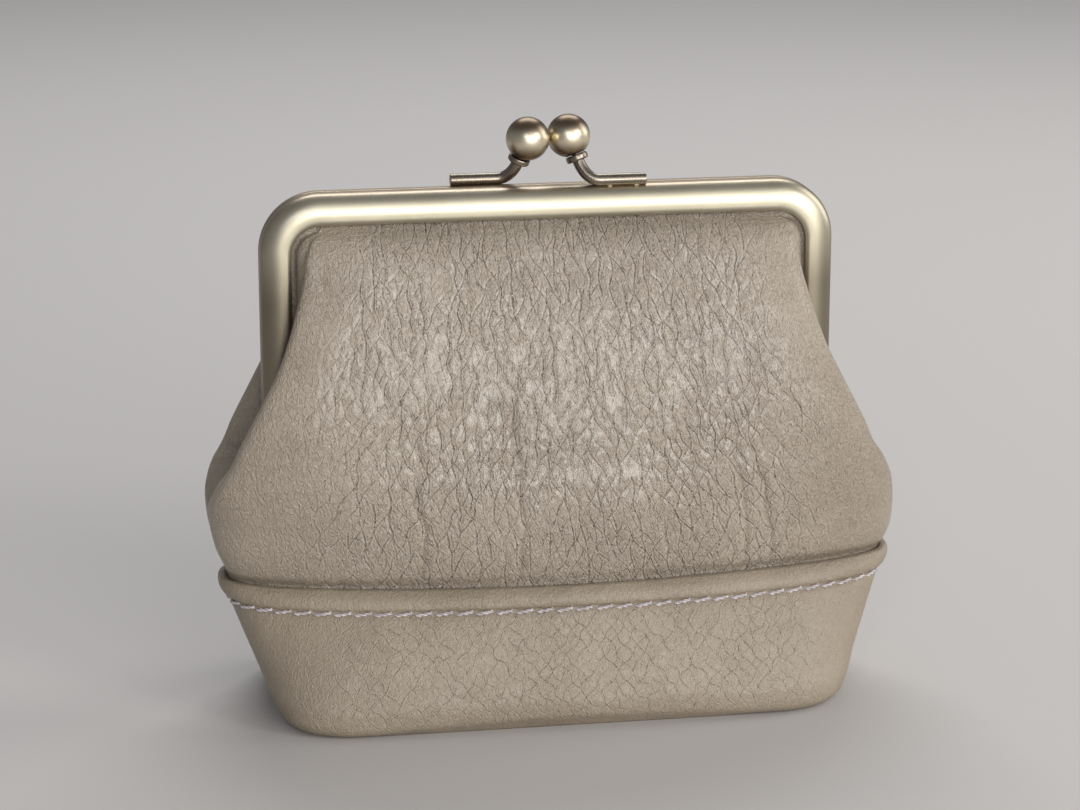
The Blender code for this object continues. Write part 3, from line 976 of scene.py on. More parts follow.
class Nodes:
    """Short ways to add nodes to one tree."""

    def __init__(self, tree: Tree) -> None:
        """Keeps the tree."""
        self.tree = tree

    def add(self, kind: str, **settings: object) -> Node:
        """Adds a node.

        Args:
            kind: Its type.
            settings: Its own settings.

        Returns:
            The node.
        """
        node = self.tree.nodes.new(kind)
        for name, value in settings.items():
            setattr(node, name, value)
        return node

    def feed(self, node: Node, **inputs: object) -> Node:
        """Fills a node's inputs.

        Args:
            node: The node.
            inputs: A socket or a plain value for each input, underscores standing for spaces.

        Returns:
            The node.
        """
        for name, value in inputs.items():
            self.put(node.inputs[name.replace("_", " ")], value)
        return node

    def put(self, socket: Socket, value: object) -> None:
        """Links a socket to an input, or sets its plain value.

        Args:
            socket: The input.
            value: Another node's output, or a plain value.
        """
        if isinstance(value, Socket):
            self.tree.links.new(value, socket)
        else:
            socket.default_value = value

    def math(self, operation: str, first: object, second: object = 0.0, clamp: bool = False) -> Socket:
        """A Math node.

        Args:
            operation: What it does.
            first: First number.
            second: Second number.
            clamp: Whether the result stays from 0 to 1.

        Returns:
            Its output.
        """
        node = self.add("ShaderNodeMath", operation=operation, use_clamp=clamp)
        self.put(node.inputs[0], first)
        self.put(node.inputs[1], second)
        return node.outputs[0]

    def span(
        self, value: object, low: object, high: object, to_low: float = 0.0, to_high: float = 1.0
    ) -> Socket:
        """Maps a range smoothly to another.

        Args:
            value: The number.
            low: Start of its range.
            high: End of its range.
            to_low: What the start becomes.
            to_high: What the end becomes.

        Returns:
            The mapped number.
        """
        node = self.add("ShaderNodeMapRange", interpolation_type="SMOOTHSTEP")
        self.feed(node, Value=value, From_Min=low, From_Max=high, To_Min=to_low, To_Max=to_high)
        return node.outputs["Result"]

    def blend(self, share: object, first: object, second: object) -> Socket:
        """Mixes two colours.

        Args:
            share: How much of the second.
            first: First colour.
            second: Second colour.

        Returns:
            The mixed colour.
        """
        node = self.add("ShaderNodeMix", data_type="RGBA")
        # A Mix node's colour sockets come after those for numbers and vectors.
        for spot, value in ((0, share), (6, first), (7, second)):
            self.put(node.inputs[spot], value)
        return node.outputs[2]

    def stretched(self, vector: Socket, x: object, y: object, z: object) -> Socket:
        """Stretches a vector along each axis.

        Args:
            vector: The vector.
            x: How much along X.
            y: How much along Y.
            z: How much along Z.

        Returns:
            The stretched vector.
        """
        amounts = self.feed(self.add("ShaderNodeCombineXYZ"), X=x, Y=y, Z=z)
        node = self.add("ShaderNodeVectorMath", operation="MULTIPLY")
        self.put(node.inputs[0], vector)
        self.put(node.inputs[1], amounts.outputs[0])
        return node.outputs[0]


class EffectGroups:
    """The shader effects that several finishes share, each built once as a node group."""

    def __init__(self) -> None:
        """Builds the groups."""
        self.grain = self.skin_grain()
        self.creases = self.crease_lines()
        self.wrinkles = self.fine_wrinkles()
        self.drift = self.tone_drift()
        self.brushed = self.brushed_lines()
        self.patina = self.band_patina()

    def group(
        self, name: str, inputs: tuple[tuple[str, str, object], ...], outputs: tuple[tuple[str, str], ...]
    ) -> tuple[Tree, Nodes, Node, Node]:
        """An empty group with named sockets.

        Args:
            name: Its name.
            inputs: Name, type and plain value of each input.
            outputs: Name and type of each output.

        Returns:
            The group, its node maker, its input node and its output node.
        """
        tree = bpy.data.node_groups.new(name, "ShaderNodeTree")
        for label, kind, value in inputs:
            socket = tree.interface.new_socket(label, in_out="INPUT", socket_type=kind)
            if value is not None:
                socket.default_value = value
        for label, kind in outputs:
            tree.interface.new_socket(label, in_out="OUTPUT", socket_type=kind)
        make = Nodes(tree)
        return tree, make, make.add("NodeGroupInput"), make.add("NodeGroupOutput")

    def skin_grain(self) -> Tree:
        """Fine leather grain.

        Returns:
            A group that puts out the grain's height and its pores.
        """
        tree, make, given, out = self.group(
            "Skin grain",
            (
                ("Vector", "NodeSocketVector", None),
                ("Cell scale", "NodeSocketFloat", 900.0),
                ("Stretch", "NodeSocketFloat", 1.0),
            ),
            (("Height", "NodeSocketFloat"), ("Pores", "NodeSocketFloat")),
        )
        place = make.stretched(given.outputs["Vector"], 1.0, 1.0, given.outputs["Stretch"])
        cells = make.add("ShaderNodeTexVoronoi", feature="DISTANCE_TO_EDGE")
        make.feed(cells, Vector=place, Scale=given.outputs["Cell scale"], Randomness=1.0)
        cloud = make.add("ShaderNodeTexNoise")
        fine = make.math("MULTIPLY", given.outputs["Cell scale"], 2.6)
        make.feed(cloud, Vector=place, Scale=fine, Detail=3.0, Roughness=0.6)
        mound = make.span(cells.outputs["Distance"], 0.0, 0.28)
        speckle = make.math("MULTIPLY", cloud.outputs["Fac"], 0.6)
        height = make.math("ADD", make.math("MULTIPLY", mound, 0.7), speckle)
        pores = make.math("SUBTRACT", 1.0, make.span(cells.outputs["Distance"], 0.0, 0.09))
        make.feed(out, Height=height, Pores=pores)
        return tree

    def crease_lines(self) -> Tree:
        """Thin crease lines at the whole numbers of a count kept on the mesh.

        Returns:
            A group that puts out the height, the grooves and the lips beside them.
        """
        tree, make, given, out = self.group(
            "Crease lines",
            (
                ("Vector", "NodeSocketVector", None),
                ("Count", "NodeSocketVector", None),
                ("Width", "NodeSocketFloat", 0.14),
            ),
            (("Height", "NodeSocketFloat"), ("Groove", "NodeSocketFloat"), ("Lips", "NodeSocketFloat")),
        )
        parts = make.add("ShaderNodeSeparateXYZ")
        make.feed(parts, Vector=given.outputs["Count"])
        number, strength, spacing = (parts.outputs[name] for name in "XYZ")
        share = make.math("FRACT", make.math("ADD", number, 0.5))
        off = make.math("ABSOLUTE", make.math("SUBTRACT", share, 0.5))
        off = make.math("MULTIPLY", off, spacing)
        cloud = make.add("ShaderNodeTexNoise")
        make.feed(cloud, Vector=given.outputs["Vector"], Scale=1300.0, Detail=2.0)
        fray = make.math("MULTIPLY", make.math("SUBTRACT", cloud.outputs["Fac"], 0.42), 0.22)
        near = make.math("DIVIDE", make.math("ADD", off, fray), given.outputs["Width"])
        groove = make.math("MULTIPLY", make.span(near, 0.1, 1.15, 1.0, 0.0), strength)
        rise = make.math("MULTIPLY", make.span(near, 0.7, 1.6), make.span(near, 1.7, 3.4, 1.0, 0.0))
        lips = make.math("MULTIPLY", rise, strength)
        height = make.math("SUBTRACT", make.math("MULTIPLY", lips, 0.55), groove)
        make.feed(out, Height=height, Groove=groove, Lips=lips)
        return tree

    def fine_wrinkles(self) -> Tree:
        """Fine sharp wrinkles that branch and close.

        Returns:
            A group that puts out their height.
        """
        tree, make, given, out = self.group(
            "Fine wrinkles",
            (
                ("Vector", "NodeSocketVector", None),
                ("Scale", "NodeSocketFloat", 1000.0),
                ("Stretch", "NodeSocketFloat", 0.7),
            ),
            (("Height", "NodeSocketFloat"),),
        )
        place = make.stretched(given.outputs["Vector"], 1.0, 1.0, given.outputs["Stretch"])
        total = None
        for factor, weight in ((1.0, 0.65), (1.9, 0.35)):
            cloud = make.add("ShaderNodeTexNoise")
            scale = make.math("MULTIPLY", given.outputs["Scale"], factor)
            make.feed(cloud, Vector=place, Scale=scale, Detail=1.5, Roughness=0.5, Distortion=0.5)
            away = make.math("ABSOLUTE", make.math("SUBTRACT", cloud.outputs["Fac"], 0.5))
            ridge = make.math("MULTIPLY", make.span(away, 0.0, 0.11, 1.0, 0.0), weight)
            total = ridge if total is None else make.math("ADD", total, ridge)
        make.feed(out, Height=total)
        return tree

    def tone_drift(self) -> Tree:
        """A slow drift between two tones.

        Returns:
            A group that puts out the colour and its mask.
        """
        tree, make, given, out = self.group(
            "Tone drift",
            (
                ("Vector", "NodeSocketVector", None),
                ("Scale", "NodeSocketFloat", 60.0),
                ("Low tone", "NodeSocketColor", (0.3, 0.3, 0.3, 1.0)),
                ("High tone", "NodeSocketColor", (0.5, 0.5, 0.5, 1.0)),
            ),
            (("Color", "NodeSocketColor"), ("Mask", "NodeSocketFloat")),
        )
        cloud = make.add("ShaderNodeTexNoise")
        vector, scale = given.outputs["Vector"], given.outputs["Scale"]
        make.feed(cloud, Vector=vector, Scale=scale, Detail=4.0, Roughness=0.55)
        mask = make.span(cloud.outputs["Fac"], 0.32, 0.68)
        color = make.blend(mask, given.outputs["Low tone"], given.outputs["High tone"])
        make.feed(out, Color=color, Mask=mask)
        return tree

    def brushed_lines(self) -> Tree:
        """Fine upright hairlines of brushed metal.

        Returns:
            A group that puts out the lines' height and mask.
        """
        tree, make, given, out = self.group(
            "Brushed lines",
            (
                ("Vector", "NodeSocketVector", None),
                ("Across", "NodeSocketFloat", 4200.0),
                ("Along", "NodeSocketFloat", 160.0),
            ),
            (("Height", "NodeSocketFloat"), ("Mask", "NodeSocketFloat")),
        )
        across, along = given.outputs["Across"], given.outputs["Along"]
        place = make.stretched(given.outputs["Vector"], across, across, along)
        hair = make.add("ShaderNodeTexNoise")
        make.feed(hair, Vector=place, Scale=1.0, Detail=2.0, Roughness=0.65)
        patch = make.add("ShaderNodeTexNoise")
        make.feed(patch, Vector=given.outputs["Vector"], Scale=190.0, Detail=2.0)
        lines = make.span(hair.outputs["Fac"], 0.30, 0.72)
        mask = make.math("MULTIPLY", lines, make.span(patch.outputs["Fac"], 0.3, 0.65, 0.35, 1.0))
        make.feed(out, Height=hair.outputs["Fac"], Mask=mask)
        return tree

    def band_patina(self) -> Tree:
        """Patina that gathers in a band about the middle plane and breaks up at its border.

        Returns:
            A group that puts out the patina's mask.
        """
        tree, make, given, out = self.group(
            "Band patina",
            (
                ("Vector", "NodeSocketVector", None),
                ("Full within", "NodeSocketFloat", 0.001),
                ("Gone beyond", "NodeSocketFloat", 0.004),
                ("Break-up scale", "NodeSocketFloat", 260.0),
            ),
            (("Mask", "NodeSocketFloat"),),
        )
        parts = make.add("ShaderNodeSeparateXYZ")
        make.feed(parts, Vector=given.outputs["Vector"])
        vector, scale = given.outputs["Vector"], given.outputs["Break-up scale"]
        cloud = make.feed(make.add("ShaderNodeTexNoise"), Vector=vector, Scale=scale, Detail=3.0)
        off = make.math("MULTIPLY", make.math("SUBTRACT", cloud.outputs["Fac"], 0.5), 0.0010)
        depth = make.math("ADD", make.math("ABSOLUTE", parts.outputs["Y"]), off)
        full, gone = given.outputs["Full within"], given.outputs["Gone beyond"]
        make.feed(out, Mask=make.span(depth, full, gone, 1.0, 0.0))
        return tree


class Finish:
    """A material with its shader and a node maker."""

    def __init__(self, name: str, groups: EffectGroups) -> None:
        """Makes the material.

        Args:
            name: Its name.
            groups: The shared effects.
        """
        self.groups = groups
        self.material = bpy.data.materials.new(name)
        self.material.use_nodes = True
        tree = self.material.node_tree
        self.shader = tree.nodes["Principled BSDF"]
        self.make = Nodes(tree)
        self.place = self.make.add("ShaderNodeTexCoord").outputs["Object"]

    def effect(self, group: Tree, **inputs: object) -> Node:
        """Places a shared effect.

        Args:
            group: The effect's group.
            inputs: Its values, underscores standing for spaces.

        Returns:
            The group's node.
        """
        node = self.make.add("ShaderNodeGroup", node_tree=group)
        self.make.put(node.inputs["Vector"], self.place)
        return self.make.feed(node, **inputs)

    def tones(self, scale: float, low: Color, high: Color) -> Node:
        """The shared drift between two tones, with patches at this scale."""
        return self.effect(self.groups.drift, Scale=scale, Low_tone=(*low, 1.0), High_tone=(*high, 1.0))

    def mark(self, name: str, output: str = "Fac") -> Socket:
        """A number or, with the output named Vector, a vector kept on the mesh."""
        return self.make.add("ShaderNodeAttribute", attribute_name=name).outputs[output]

    def bump(self, height: Socket, strength: float, distance: float, under: Socket | None = None) -> Socket:
        """A Bump node.

        Args:
            height: What it raises.
            strength: How much.
            distance: The height of 1, in metres.
            under: A normal that it adds to.

        Returns:
            The normal.
        """
        node = self.make.add("ShaderNodeBump")
        self.make.feed(node, Height=height, Strength=strength, Distance=distance)
        if under is not None:
            self.make.put(node.inputs["Normal"], under)
        return node.outputs["Normal"]


@dataclass(frozen=True)
class LeatherFinish:
    """Taupe leather with a pearly gloss, painted sheen on its wrinkle tops and crease lips, a painted line
    colour along its grooves and painted shade in its creases.
    """

    name: str
    low: Color = (0.276, 0.226, 0.172)
    high: Color = (0.340, 0.284, 0.220)
    # Colour of the painted shade in the creases; the pores take it too.
    dark: Color = (0.185, 0.140, 0.102)
    # Painted along the crease grooves: painted shade on the panels; the base's lighter colour paints a
    # highlight there.
    line: Color = (0.190, 0.138, 0.094)
    painted_sheen: Color = (0.540, 0.480, 0.425)
    roughness: Pair = (0.36, 0.50)
    coat: Pair = (0.18, 0.60)
    coat_roughness: float = 0.14
    coat_ior: float = 1.45
    specular: float = 0.55
    tone_scale: float = 46.0
    tone_roughness: float = 0.05
    painted_sheen_share: float = 0.30
    pore_share: float = 0.12
    groove_shading_share: float = 0.48
    crease_shade_share: float = 0.50
    # How much painted highlight the lips beside the creases take.
    lip_share: float = 0.42
    families: tuple[tuple[str, float, float], ...] = (
        ("upright", 0.16, 1.0),
        ("slanting", 0.15, 0.95),
        ("counter", 0.15, 0.9),
        ("fine", 0.12, 0.6),
    )
    groove_depth: float = 0.000125
    wrinkle_scale: float = 900.0
    wrinkle_depth: float = 0.00017
    grain_scale: float = 1900.0
    stretch: float = 0.66
    grain_depth: float = 0.00005

    def material(self, groups: EffectGroups) -> Material:
        """Builds the material.

        Args:
            groups: The shared effects.

        Returns:
            The material.
        """
        finish = Finish(self.name, groups)
        make, shader = finish.make, finish.shader
        crease, shine = finish.mark("crease"), finish.mark("shine")
        drift = finish.tones(self.tone_scale, self.low, self.high)
        grain = finish.effect(groups.grain, Cell_scale=self.grain_scale, Stretch=self.stretch)
        crinkle = finish.effect(groups.wrinkles, Scale=self.wrinkle_scale, Stretch=self.stretch)
        wrinkles = crinkle.outputs["Height"]
        groove, lips, height = 0.0, 0.0, 0.0
        for name, width, weight in self.families:
            lines = finish.effect(groups.creases, Count=finish.mark(name, "Vector"), Width=width)
            groove = make.math("MAXIMUM", groove, make.math("MULTIPLY", lines.outputs["Groove"], weight))
            lips = make.math("MAXIMUM", lips, make.math("MULTIPLY", lines.outputs["Lips"], weight))
            height = make.math("ADD", height, make.math("MULTIPLY", lines.outputs["Height"], weight))
        color = drift.outputs["Color"]
        for mask, share, tone in (
            # Painted sheen: a lighter colour on the glossy wrinkle tops.
            (make.math("MULTIPLY", shine, wrinkles), self.painted_sheen_share, self.painted_sheen),
            # Painted highlight on the raised lips beside the creases.
            (lips, self.lip_share, self.painted_sheen),
            (grain.outputs["Pores"], self.pore_share, self.dark),
            # The line colour along the grooves: painted shade on the panels, a painted highlight on the base.
            (groove, self.groove_shading_share, self.line),
            # Painted shade at the bottom of the deep creases, along the sunk seam and in the roll's hollows.
            (make.span(crease, 0.30, 1.0), self.crease_shade_share, self.dark),
        ):
            color = make.blend(make.math("MULTIPLY", mask, share, clamp=True), color, (*tone, 1.0))
        make.put(shader.inputs["Base Color"], color)
        uneven = make.math("MULTIPLY", drift.outputs["Mask"], self.tone_roughness)
        rough = make.math("ADD", uneven, make.span(groove, 0.1, 0.8, *self.roughness))
        make.put(shader.inputs["Roughness"], rough)
        make.put(shader.inputs["Coat Weight"], make.span(shine, 0.0, 0.9, *self.coat))
        shader.inputs["Coat Roughness"].default_value = self.coat_roughness
        shader.inputs["Coat IOR"].default_value = self.coat_ior
        shader.inputs["Specular IOR Level"].default_value = self.specular
        folded = finish.bump(height, 1.0, self.groove_depth)
        wrinkled = finish.bump(wrinkles, 1.0, self.wrinkle_depth, folded)
        grained = finish.bump(grain.outputs["Height"], 1.0, self.grain_depth, wrinkled)
        make.put(shader.inputs["Normal"], grained)
        return finish.material


@dataclass(frozen=True)
class BrassFinish:
    """Brushed antique brass: pale where rubbed, brown where patina has stayed.

    The poles are a ball's middle height, how far its caps of painted dark reflection reach from it, in
    metres, and their strength. Low down on the legs the same painted dark reflection darkens the metal.
    """

    name: str
    bright: Color = (0.520, 0.480, 0.370)
    dull: Color = (0.470, 0.430, 0.325)
    brown: Color = (0.300, 0.215, 0.150)
    painted_dark_reflection: Color = (0.200, 0.168, 0.125)
    roughness: Pair = (0.38, 0.42)
    full_within: float = 0.0018
    gone_beyond: float = 0.0042
    patina: float = 0.72
    leg_dark_reflection: float = 0.84
    low_heights: Pair = (0.086, 0.101)
    poles: tuple[float, float, float] | None = None
    tone_scale: float = 70.0
    rubbed_share: float = 0.35
    across: float = 4200.0
    along: float = 120.0
    scratch: float = 0.0000018

    def painted_dark_reflection_mask(self, make: Nodes, height: Socket) -> Socket:
        """Where painted dark reflection darkens the metal: low down on the legs, or towards a ball's poles.

        Args:
            make: The material's node maker.
            height: The height, in metres.

        Returns:
            The mask.
        """
        if self.poles is None:
            return make.span(height, *self.low_heights, self.leg_dark_reflection, 0.0)
        middle, reach, share = self.poles
        off = make.math("ABSOLUTE", make.math("SUBTRACT", height, middle))
        return make.span(off, 0.10 * reach, 0.75 * reach, 0.0, share)

    def material(self, groups: EffectGroups) -> Material:
        """Builds the material.

        Args:
            groups: The shared effects.

        Returns:
            The material.
        """
        finish = Finish(self.name, groups)
        make, shader = finish.make, finish.shader
        drift = finish.tones(self.tone_scale, self.dull, self.bright)
        lines = finish.effect(groups.brushed, Across=self.across, Along=self.along)
        patina = finish.effect(groups.patina, Full_within=self.full_within, Gone_beyond=self.gone_beyond)
        parts = make.feed(make.add("ShaderNodeSeparateXYZ"), Vector=finish.place)
        color = drift.outputs["Color"]
        for mask, tone in (
            (make.math("MULTIPLY", lines.outputs["Mask"], self.rubbed_share), self.bright),
            (make.math("MULTIPLY", patina.outputs["Mask"], self.patina), self.brown),
            # Painted dark reflection, low on the legs and at the balls' top and bottom.
            (self.painted_dark_reflection_mask(make, parts.outputs["Z"]), self.painted_dark_reflection),
        ):
            color = make.blend(mask, color, (*tone, 1.0))
        make.put(shader.inputs["Base Color"], color)
        make.put(shader.inputs["Roughness"], make.span(lines.outputs["Mask"], 0.0, 1.0, *self.roughness))
        shader.inputs["Metallic"].default_value = 1.0
        make.put(shader.inputs["Normal"], finish.bump(lines.outputs["Height"], 0.6, self.scratch))
        return finish.material


@dataclass(frozen=True)
class ThreadFinish:
    """Pale waxed thread."""

    name: str = "Pale thread"
    low: Color = (0.36, 0.32, 0.33)
    high: Color = (0.58, 0.53, 0.54)
    roughness: float = 0.55
    sheen: float = 0.2
    tone_scale: float = 900.0
    fibre_scale: float = 5200.0
    fibre_depth: float = 0.00003

    def material(self, groups: EffectGroups) -> Material:
        """Builds the material.

        Args:
            groups: The shared effects.

        Returns:
            The material.
        """
        finish = Finish(self.name, groups)
        make, shader = finish.make, finish.shader
        drift = finish.tones(self.tone_scale, self.low, self.high)
        fibres = finish.effect(groups.grain, Cell_scale=self.fibre_scale, Stretch=1.0)
        make.put(shader.inputs["Base Color"], drift.outputs["Color"])
        shader.inputs["Roughness"].default_value = self.roughness
        shader.inputs["Sheen Weight"].default_value = self.sheen
        make.put(shader.inputs["Normal"], finish.bump(fibres.outputs["Height"], 0.5, self.fibre_depth))
        return finish.material


@dataclass(frozen=True)
class FloorFinish:
    """A plain pale floor."""

    name: str = "Pale floor"
    color: Color = (0.53, 0.505, 0.485)
    roughness: float = 0.75
    specular: float = 0.2

    def material(self) -> Material:
        """Builds the material.

        Returns:
            The material.
        """
        made = bpy.data.materials.new(self.name)
        made.use_nodes = True
        shader = made.node_tree.nodes["Principled BSDF"]
        shader.inputs["Base Color"].default_value = (*self.color, 1.0)
        shader.inputs["Roughness"].default_value = self.roughness
        shader.inputs["Specular IOR Level"].default_value = self.specular
        return made


# Pieces


@dataclass
class Piece:
    """What every piece has: its shift along X, and the step that places it, hides the solids it stands for
    and dresses it.
    """

    shift: float = 0.0

    def finished(
        self, thing: Object, nodes: tuple[str, ...], slot: str, materials: list[Material]
    ) -> Object:
        """Puts a piece in its place and dresses it.

        Args:
            thing: The piece, about the frame's own middle.
            nodes: The solids that it stands for.
            slot: Not used.
            materials: Its materials.

        Returns:
            The piece.
        """
        thing.data.transform(Matrix.Translation((self.shift * MM, 0.0, 0.0)))
        thing.data.materials.clear()
        for made in materials:
            thing.data.materials.append(made)
        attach(thing, "root")
        if nodes:
            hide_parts(*nodes)
        log.info("%s: %d points, %d faces", thing.name, len(thing.data.vertices), len(thing.data.polygons))
        return thing


@dataclass
class FrameHalf(Piece):
    """One half of the frame: channel, hinge ears, clasp rod, collar and solder in one solid."""

    rod_radius: float = 1.25
    rod_end: float = 20.1
    rod_bend: float = 10.6
    rod_inset: float = 2.4
    rod_sweep: float = 2.6
    rod_edge: float = 0.22
    ball_flat: float = 4.05
    ball_centre: Point = (4.42, 1.0, 119.0)
    stem: Point = (-1.65, 1.2, 4.6)
    collar_radius: float = 2.3
    collar_height: float = 1.4
    collar_round: float = 0.42
    spigot_radius: float = 0.9
    spigot_length: float = 3.0
    solder_radius: float = 0.62
    solder_places: Pair = (12.4, 18.0)
    solder_spread: float = 0.12
    sink: float = 0.15
    rivet_radius: float = 0.9
    corner_steps: int = 30

    def outline(self) -> list[Pair]:
        """The channel's section, as distance out from the outer line and depth from the middle plane."""
        near, far = FRAME.half_gap, FRAME.face
        drop, deep, sheet = FRAME.face_round, FRAME.crown_depth, FRAME.sheet
        turns = np.radians(np.linspace(0.0, 90.0, 29))
        line = [(-FRAME.face_width, near)]
        line += arc((-FRAME.mating_round, near + FRAME.mating_round), FRAME.mating_round, -90, 0, 6)
        line += [(-drop * (1 - math.cos(t)), far - deep * (1 - math.sin(t))) for t in turns]
        bend = FRAME.lip_height - FRAME.face_width
        line += [(bend + 0.35, far), (bend, far - 0.05), (bend - 0.3, far - 0.14)]
        line += arc((-FRAME.face_width + 0.14, far - FRAME.lip_turn - 0.16), 0.14, 110, 200, 4)
        line += [(-FRAME.face_width, far - FRAME.lip_turn - sheet), (bend, far - sheet)]
        inner_drop, inner_deep = drop - sheet, deep - sheet
        inner = [
            (-sheet - inner_drop * (1 - math.cos(t)), far - sheet - inner_deep * (1 - math.sin(t)))
            for t in turns
        ]
        line += inner[::-2]
        line += [(-sheet, near + sheet), (-FRAME.face_width, near + sheet)]
        return line

    def channel(self, name: str) -> Object:
        """The section swept along the U of the frame.

        Args:
            name: The piece's name.

        Returns:
            The channel.
        """
        section = bpy.data.curves.new("section", "CURVE")
        spine = bpy.data.curves.new(name, "CURVE")
        across = FRAME.corner_x
        path = [(-FRAME.width / 2, FRAME.leg_end)]
        path += arc((-across, FRAME.corner_z), FRAME.corner, 180, 90, self.corner_steps)
        path += arc((across, FRAME.corner_z), FRAME.corner, 90, 0, self.corner_steps)
        path += [(FRAME.width / 2, FRAME.leg_end)]
        for curve, points, closed in (
            (section, [(-across, depth) for across, depth in self.outline()], True),
            (spine, path, False),
        ):
            curve.dimensions = "2D"
            curve.fill_mode = "NONE"
            spline = curve.splines.new("POLY")
            spline.points.add(len(points) - 1)
            for spot, (x, y) in zip(spline.points, points):
                spot.co = (x * MM, y * MM, 0.0, 1.0)
            spline.use_cyclic_u = closed
        profile = placed("section", section)
        thing = placed(name, spine)
        spine.bevel_mode = "OBJECT"
        spine.bevel_object = profile
        spine.use_fill_caps = True
        thing.matrix_world = Matrix.Rotation(math.pi / 2, 4, "X")
        bpy.context.view_layer.update()
        thing = settled(thing)
        bpy.data.objects.remove(profile, do_unlink=True)
        return thing

    def stem_place(self) -> tuple[Matrix, Vector]:
        """The stem's own frame at the ball's centre, and its direction."""
        axis = Vector(self.stem).normalized()
        centre = Vector(self.ball_centre) * MM
        return Matrix.Translation(centre) @ axis.to_track_quat("Z", "X").to_matrix().to_4x4(), axis

    def collar(self) -> Object:
        """The turned end of the stem: collar, then the spigot inside the ball."""
        place, _ = self.stem_place()
        top = -(self.ball_flat + 0.12)
        foot = top - self.collar_height
        r, e = self.collar_radius, self.collar_round
        profile = [(0.0, top + self.spigot_length), (self.spigot_radius, top + self.spigot_length)]
        profile += [(self.spigot_radius, top)]
        profile += arc((r - e, top - e), e, 90, 0, 6)
        profile += arc((r - e, foot + e), e, 0, -90, 6)
        profile += [(0.0, foot)]
        return turned("collar", profile, place, 48)

    def rod(self) -> Object:
        """The rod along the crown, bent up to the collar, with a broken edge at its free end."""
        place, axis = self.stem_place()
        tip = place.translation / MM - axis * (self.ball_flat + 0.12 + self.collar_height / 2)
        height = FRAME.top + self.rod_radius - self.sink
        bend = Vector((self.rod_bend, -self.rod_inset, height))
        pull = Vector((self.rod_sweep, 0.0, 0.0))
        curved = bezier(bend, -pull, tip, axis * self.rod_sweep, 26)
        spots = []
        for inwards, thinner in ((0.0, 1.0), (0.3, 0.3), (1.0, 0.0)):
            point = Vector((self.rod_end - self.rod_edge * inwards, -self.rod_inset, height))
            spots.append((point, self.rod_radius - self.rod_edge * thinner))
        spots += [(bend, self.rod_radius)]
        spots += [(Vector(point), self.rod_radius) for point in curved]
        curve = bpy.data.curves.new("rod", "CURVE")
        curve.dimensions = "3D"
        curve.bevel_depth = MM
        curve.bevel_resolution = 12
        curve.use_fill_caps = True
        spline = curve.splines.new("POLY")
        spline.points.add(len(spots) - 1)
        for spot, (point, radius) in zip(spline.points, spots):
            spot.co = (*(point * MM), 1.0)
            spot.radius = radius
        thing = placed("rod", curve)
        bpy.context.view_layer.update()
        return settled(thing)

    def solder(self, across: float) -> Object:
        """A low bead of solder under the rod.

        Args:
            across: Where along X.

        Returns:
            The bead.
        """
        mesh = bpy.data.meshes.new("solder")
        work = bmesh.new()
        spot = (across * MM, -(self.rod_inset + self.solder_spread) * MM, FRAME.top * MM)
        stretch = Matrix.Diagonal((1.25, 1.0, 1.0, 1.0))
        place, radius = Matrix.Translation(spot) @ stretch, self.solder_radius * MM
        bmesh.ops.create_uvsphere(work, u_segments=28, v_segments=14, radius=radius, matrix=place)
        work.to_mesh(mesh)
        work.free()
        return placed("solder", mesh)

    def build(self, half: Half, brass: Material, rod_brass: Material) -> Object:
        """Builds one half and dresses it.

        Args:
            half: Which half.
            brass: The channel's material.
            rod_brass: The rod's and collar's material.

        Returns:
            The piece.
        """
        name = f"{half.name.lower()}_frame_brass"
        thing = self.channel(name)
        wall = FRAME.width / 2 - FRAME.sheet
        ear = wall - FRAME.gap
        clear = FRAME.ear_radius + FRAME.gap
        cuts = []
        for side in (-1, 1):
            inside = FRAME.width / 2 - FRAME.face_width - FRAME.gap
            low = (side * inside, -1.05, FRAME.leg_end - FRAME.ear_radius)
            cuts.append(box("wall_cut", low, (side * (wall + 0.1), FRAME.gap, FRAME.hinge + clear)))
        cuts.append(disc_across("ear_room", clear, -FRAME.width / 2 - FRAME.sheet, -wall + 0.15, FRAME.hinge))
        thing = combined(thing, cuts, "DIFFERENCE")
        reach = FRAME.ear_radius * 0.8
        low = (-ear, -(FRAME.face - FRAME.sheet * 0.7), FRAME.hinge - reach)
        parts = [
            disc_across("outer_ear", FRAME.ear_radius, wall, FRAME.width / 2, FRAME.hinge),
            disc_across("inner_ear", FRAME.ear_radius, -ear, FRAME.sheet - ear, FRAME.hinge),
            box("ear_arm", low, (FRAME.sheet - ear, 0.0, FRAME.hinge + reach)),
            self.rod(),
            self.collar(),
        ]
        parts += [self.solder(place) for place in self.solder_places]
        thing = combined(thing, parts, "UNION")
        bore = self.rivet_radius + 0.15
        holes = [
            disc_across("outer_hole", bore, wall - 0.15, FRAME.width / 2 + FRAME.sheet, FRAME.hinge),
            disc_across("inner_hole", bore, -ear - 0.15, FRAME.sheet - ear + 0.15, FRAME.hinge),
        ]
        thing = combined(thing, holes, "DIFFERENCE")
        if half is Half.BACK:
            thing.data.transform(Matrix.Rotation(math.pi, 4, "Z"))
        shaded(thing)
        thing = self.finished(thing, (f"{half.name.lower()}_frame",), "frame", [brass, rod_brass])
        limit = (FRAME.top + 0.03) * MM
        for face in thing.data.polygons:
            face.material_index = int(face.center.z > limit)
        return thing


